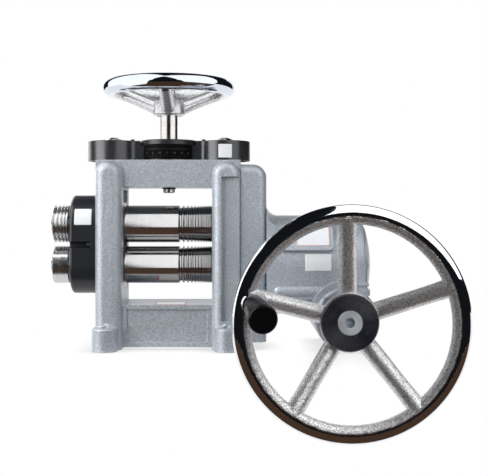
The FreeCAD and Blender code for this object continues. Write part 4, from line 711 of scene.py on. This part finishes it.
hub_black = satin_black("hub_black", CRANK_MIDDLE, "y", (0.008, 0.009, 0.016),
                        roughness=0.24, ring_depth=0.0008, shine=0.8)
finish_in(hub_black, "hub_disc")
shaft_steel = machined_steel("shaft_steel", CRANK_MIDDLE, "y", (0.7, 0.74, 0.79),
                             roughness=0.5, ring_scale=1500, ring_depth=0.0003)
finish_in(shaft_steel, "worm_shaft")
grip_joint = moving_joint("grip_turn")
HANDLE_FOOT, HANDLE_WAY = grip_joint["pos_m"], tuple(grip_joint["axis"])
pin_steel = machined_steel("pin_steel", HANDLE_FOOT, HANDLE_WAY, (0.8, 0.8, 0.82),
                           roughness=0.08)
finish_in(pin_steel, "handle_spindle")
grip_black = satin_black("grip_black", HANDLE_FOOT, HANDLE_WAY, (0.002, 0.002, 0.003),
                         roughness=0.3, shine=0.2)
finish_in(grip_black, "handle_grip")
seal_rubber = satin_black("seal_rubber", CRANK_MIDDLE, "y", (0.02, 0.02, 0.02),
                          roughness=0.6)
finish_in(seal_rubber, "shaft_seal")
finish_in(black_oxide, "drain_plug")


# ---- labels ----
# Bare self-adhesive labels, cut from thin film with rounded corners and pressed on to the
# case, the guard, the gearbox pad and drum, and the lower beam.  Nothing is printed on them.

FILM_THICKNESS = 0.00025
FILM_LIFT = 0.6 * FILM_THICKNESS
FILM_STEPS = 20
CORNER_RADIUS = 0.0012
PRESS_HEIGHT = 0.1


def label_film(name, colour, border):
    """Satin film with a slight mottle; border is the colour of its outer edge."""
    made, tree = empty_material(name)
    smear = use(tree, handling, Scale=60)["Smear"]
    across = put(tree, "ShaderNodeAttribute", attribute_name="across").outputs["Vector"]
    across = put(tree, "ShaderNodeSeparateXYZ", {0: across}).outputs
    rim = remap(tree, calc(tree, "MAXIMUM", across[0], across[1]), 0.9, 0.93)
    tone = mixed_colour(tree, rim, (*colour, 1), (*border, 1))
    tone = mixed_colour(tree, times(tree, smear, 0.12), tone, (0.5, 0.5, 0.5, 1))
    rough = remap(tree, smear, 0, 1, 0.34, 0.5)
    lifted = raised(tree, 0.4, 0.00003, noise(tree, place_on(tree), 900, 3, 0.6))
    surface_of(tree, {"Base Color": tone, "Roughness": rough, "Normal": lifted})
    return made


def in_round_corners(flat, half):
    """A place on a rectangle of half this size, moved inside its rounded corners."""
    room = half - Vector((CORNER_RADIUS, CORNER_RADIUS))
    past = Vector((max(abs(flat.x) - room.x, 0), max(abs(flat.y) - room.y, 0)))
    if past.length <= CORNER_RADIUS:
        return flat
    past *= CORNER_RADIUS / past.length
    return Vector((math.copysign(room.x + past.x, flat.x),
                   math.copysign(room.y + past.y, flat.y)))


def bare_label(name, node, middle, up, size, material):
    """A film pressed on a node, about middle; it is seen with up upwards and X to the right."""
    right, up, middle = Vector((1, 0, 0)), Vector(up).normalized(), Vector(middle)
    inwards = up.cross(right)
    half = Vector((size[0] / 2, size[1] / 2))
    shape = bmesh.new()
    edge_share = shape.verts.layers.float_vector.new("across")
    grid = []
    for v in range(FILM_STEPS + 1):
        row = []
        for u in range(FILM_STEPS + 1):
            share = Vector((2 * u / FILM_STEPS - 1, 2 * v / FILM_STEPS - 1))
            flat = in_round_corners(Vector((share.x * half.x, share.y * half.y)), half)
            above = middle + right * flat.x + up * flat.y - inwards * PRESS_HEIGHT
            found, seat, normal, _ = nodes[node].ray_cast(above, inwards)
            if not found:
                raise ValueError(name + " misses " + node)
            vertex = shape.verts.new(seat + normal * FILM_LIFT)
            vertex[edge_share] = (abs(share.x), abs(share.y), 0)
            row.append(vertex)
        grid.append(row)
    made = sheet_of(name, shape, grid, material)
    smooth_faces(made.data)
    film = made.modifiers.new("film", "SOLIDIFY")
    film.thickness = FILM_THICKNESS
    film.offset = 0
    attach(made, "root")


white_film = label_film("white_film", colour=(0.82, 0.83, 0.85), border=(0.82, 0.83, 0.85))
notice_film = label_film("notice_film", colour=(0.85, 0.85, 0.85), border=(0.62, 0.06, 0.05))
pad_film = label_film("pad_film", colour=(0.8, 0.82, 0.86), border=(0.72, 0.5, 0.42))
UPWARDS, BACKWARDS = (0, 0, 1), (0, 1, 0)
PAD_LEAN = math.radians(30)
UP_THE_PAD = (0, math.sin(PAD_LEAN), math.cos(PAD_LEAN))
bare_label("case_label", "gear_case", middle=(0.0853, 0, 0.292),
           up=UPWARDS, size=(0.02, 0.02), material=white_film)
bare_label("guard_label", "gear_guard", middle=(-0.1235, 0, 0.1945),
           up=UPWARDS, size=(0.0252, 0.0235), material=white_film)
bare_label("pad_label", "gearbox_housing",
           middle=(0.2131, -0.0652, 0.1665), up=UP_THE_PAD, size=(0.0484, 0.0315),
           material=pad_film)
bare_label("drum_label", "gearbox_housing", middle=(0.22, 0, 0.129),
           up=UPWARDS, size=(0.038, 0.0244), material=white_film)
bare_label("beam_label", "frame", middle=(0.0043, -0.022, 0.066),
           up=BACKWARDS, size=(0.046, 0.04), material=notice_film)


# ---- which lights fall on what ----
# The rolls and the two wheels are mirrors, so each has lights of its own to reflect.  All
# other pieces, and the bench, share the key, rim and fill lights.

light_groups = {"rolls": ("upper_roll", "lower_roll"),
                "top": ("top_handwheel", "handwheel_nut", "spindle"),
                "crank": ("crank_wheel", "handle_spindle")}
grouped = {name: group for group, names in light_groups.items() for name in names}
for thing in bpy.context.scene.objects:
    if thing.type == "MESH":
        lit_sets[grouped.get(thing.name, "rest")].objects.link(thing)
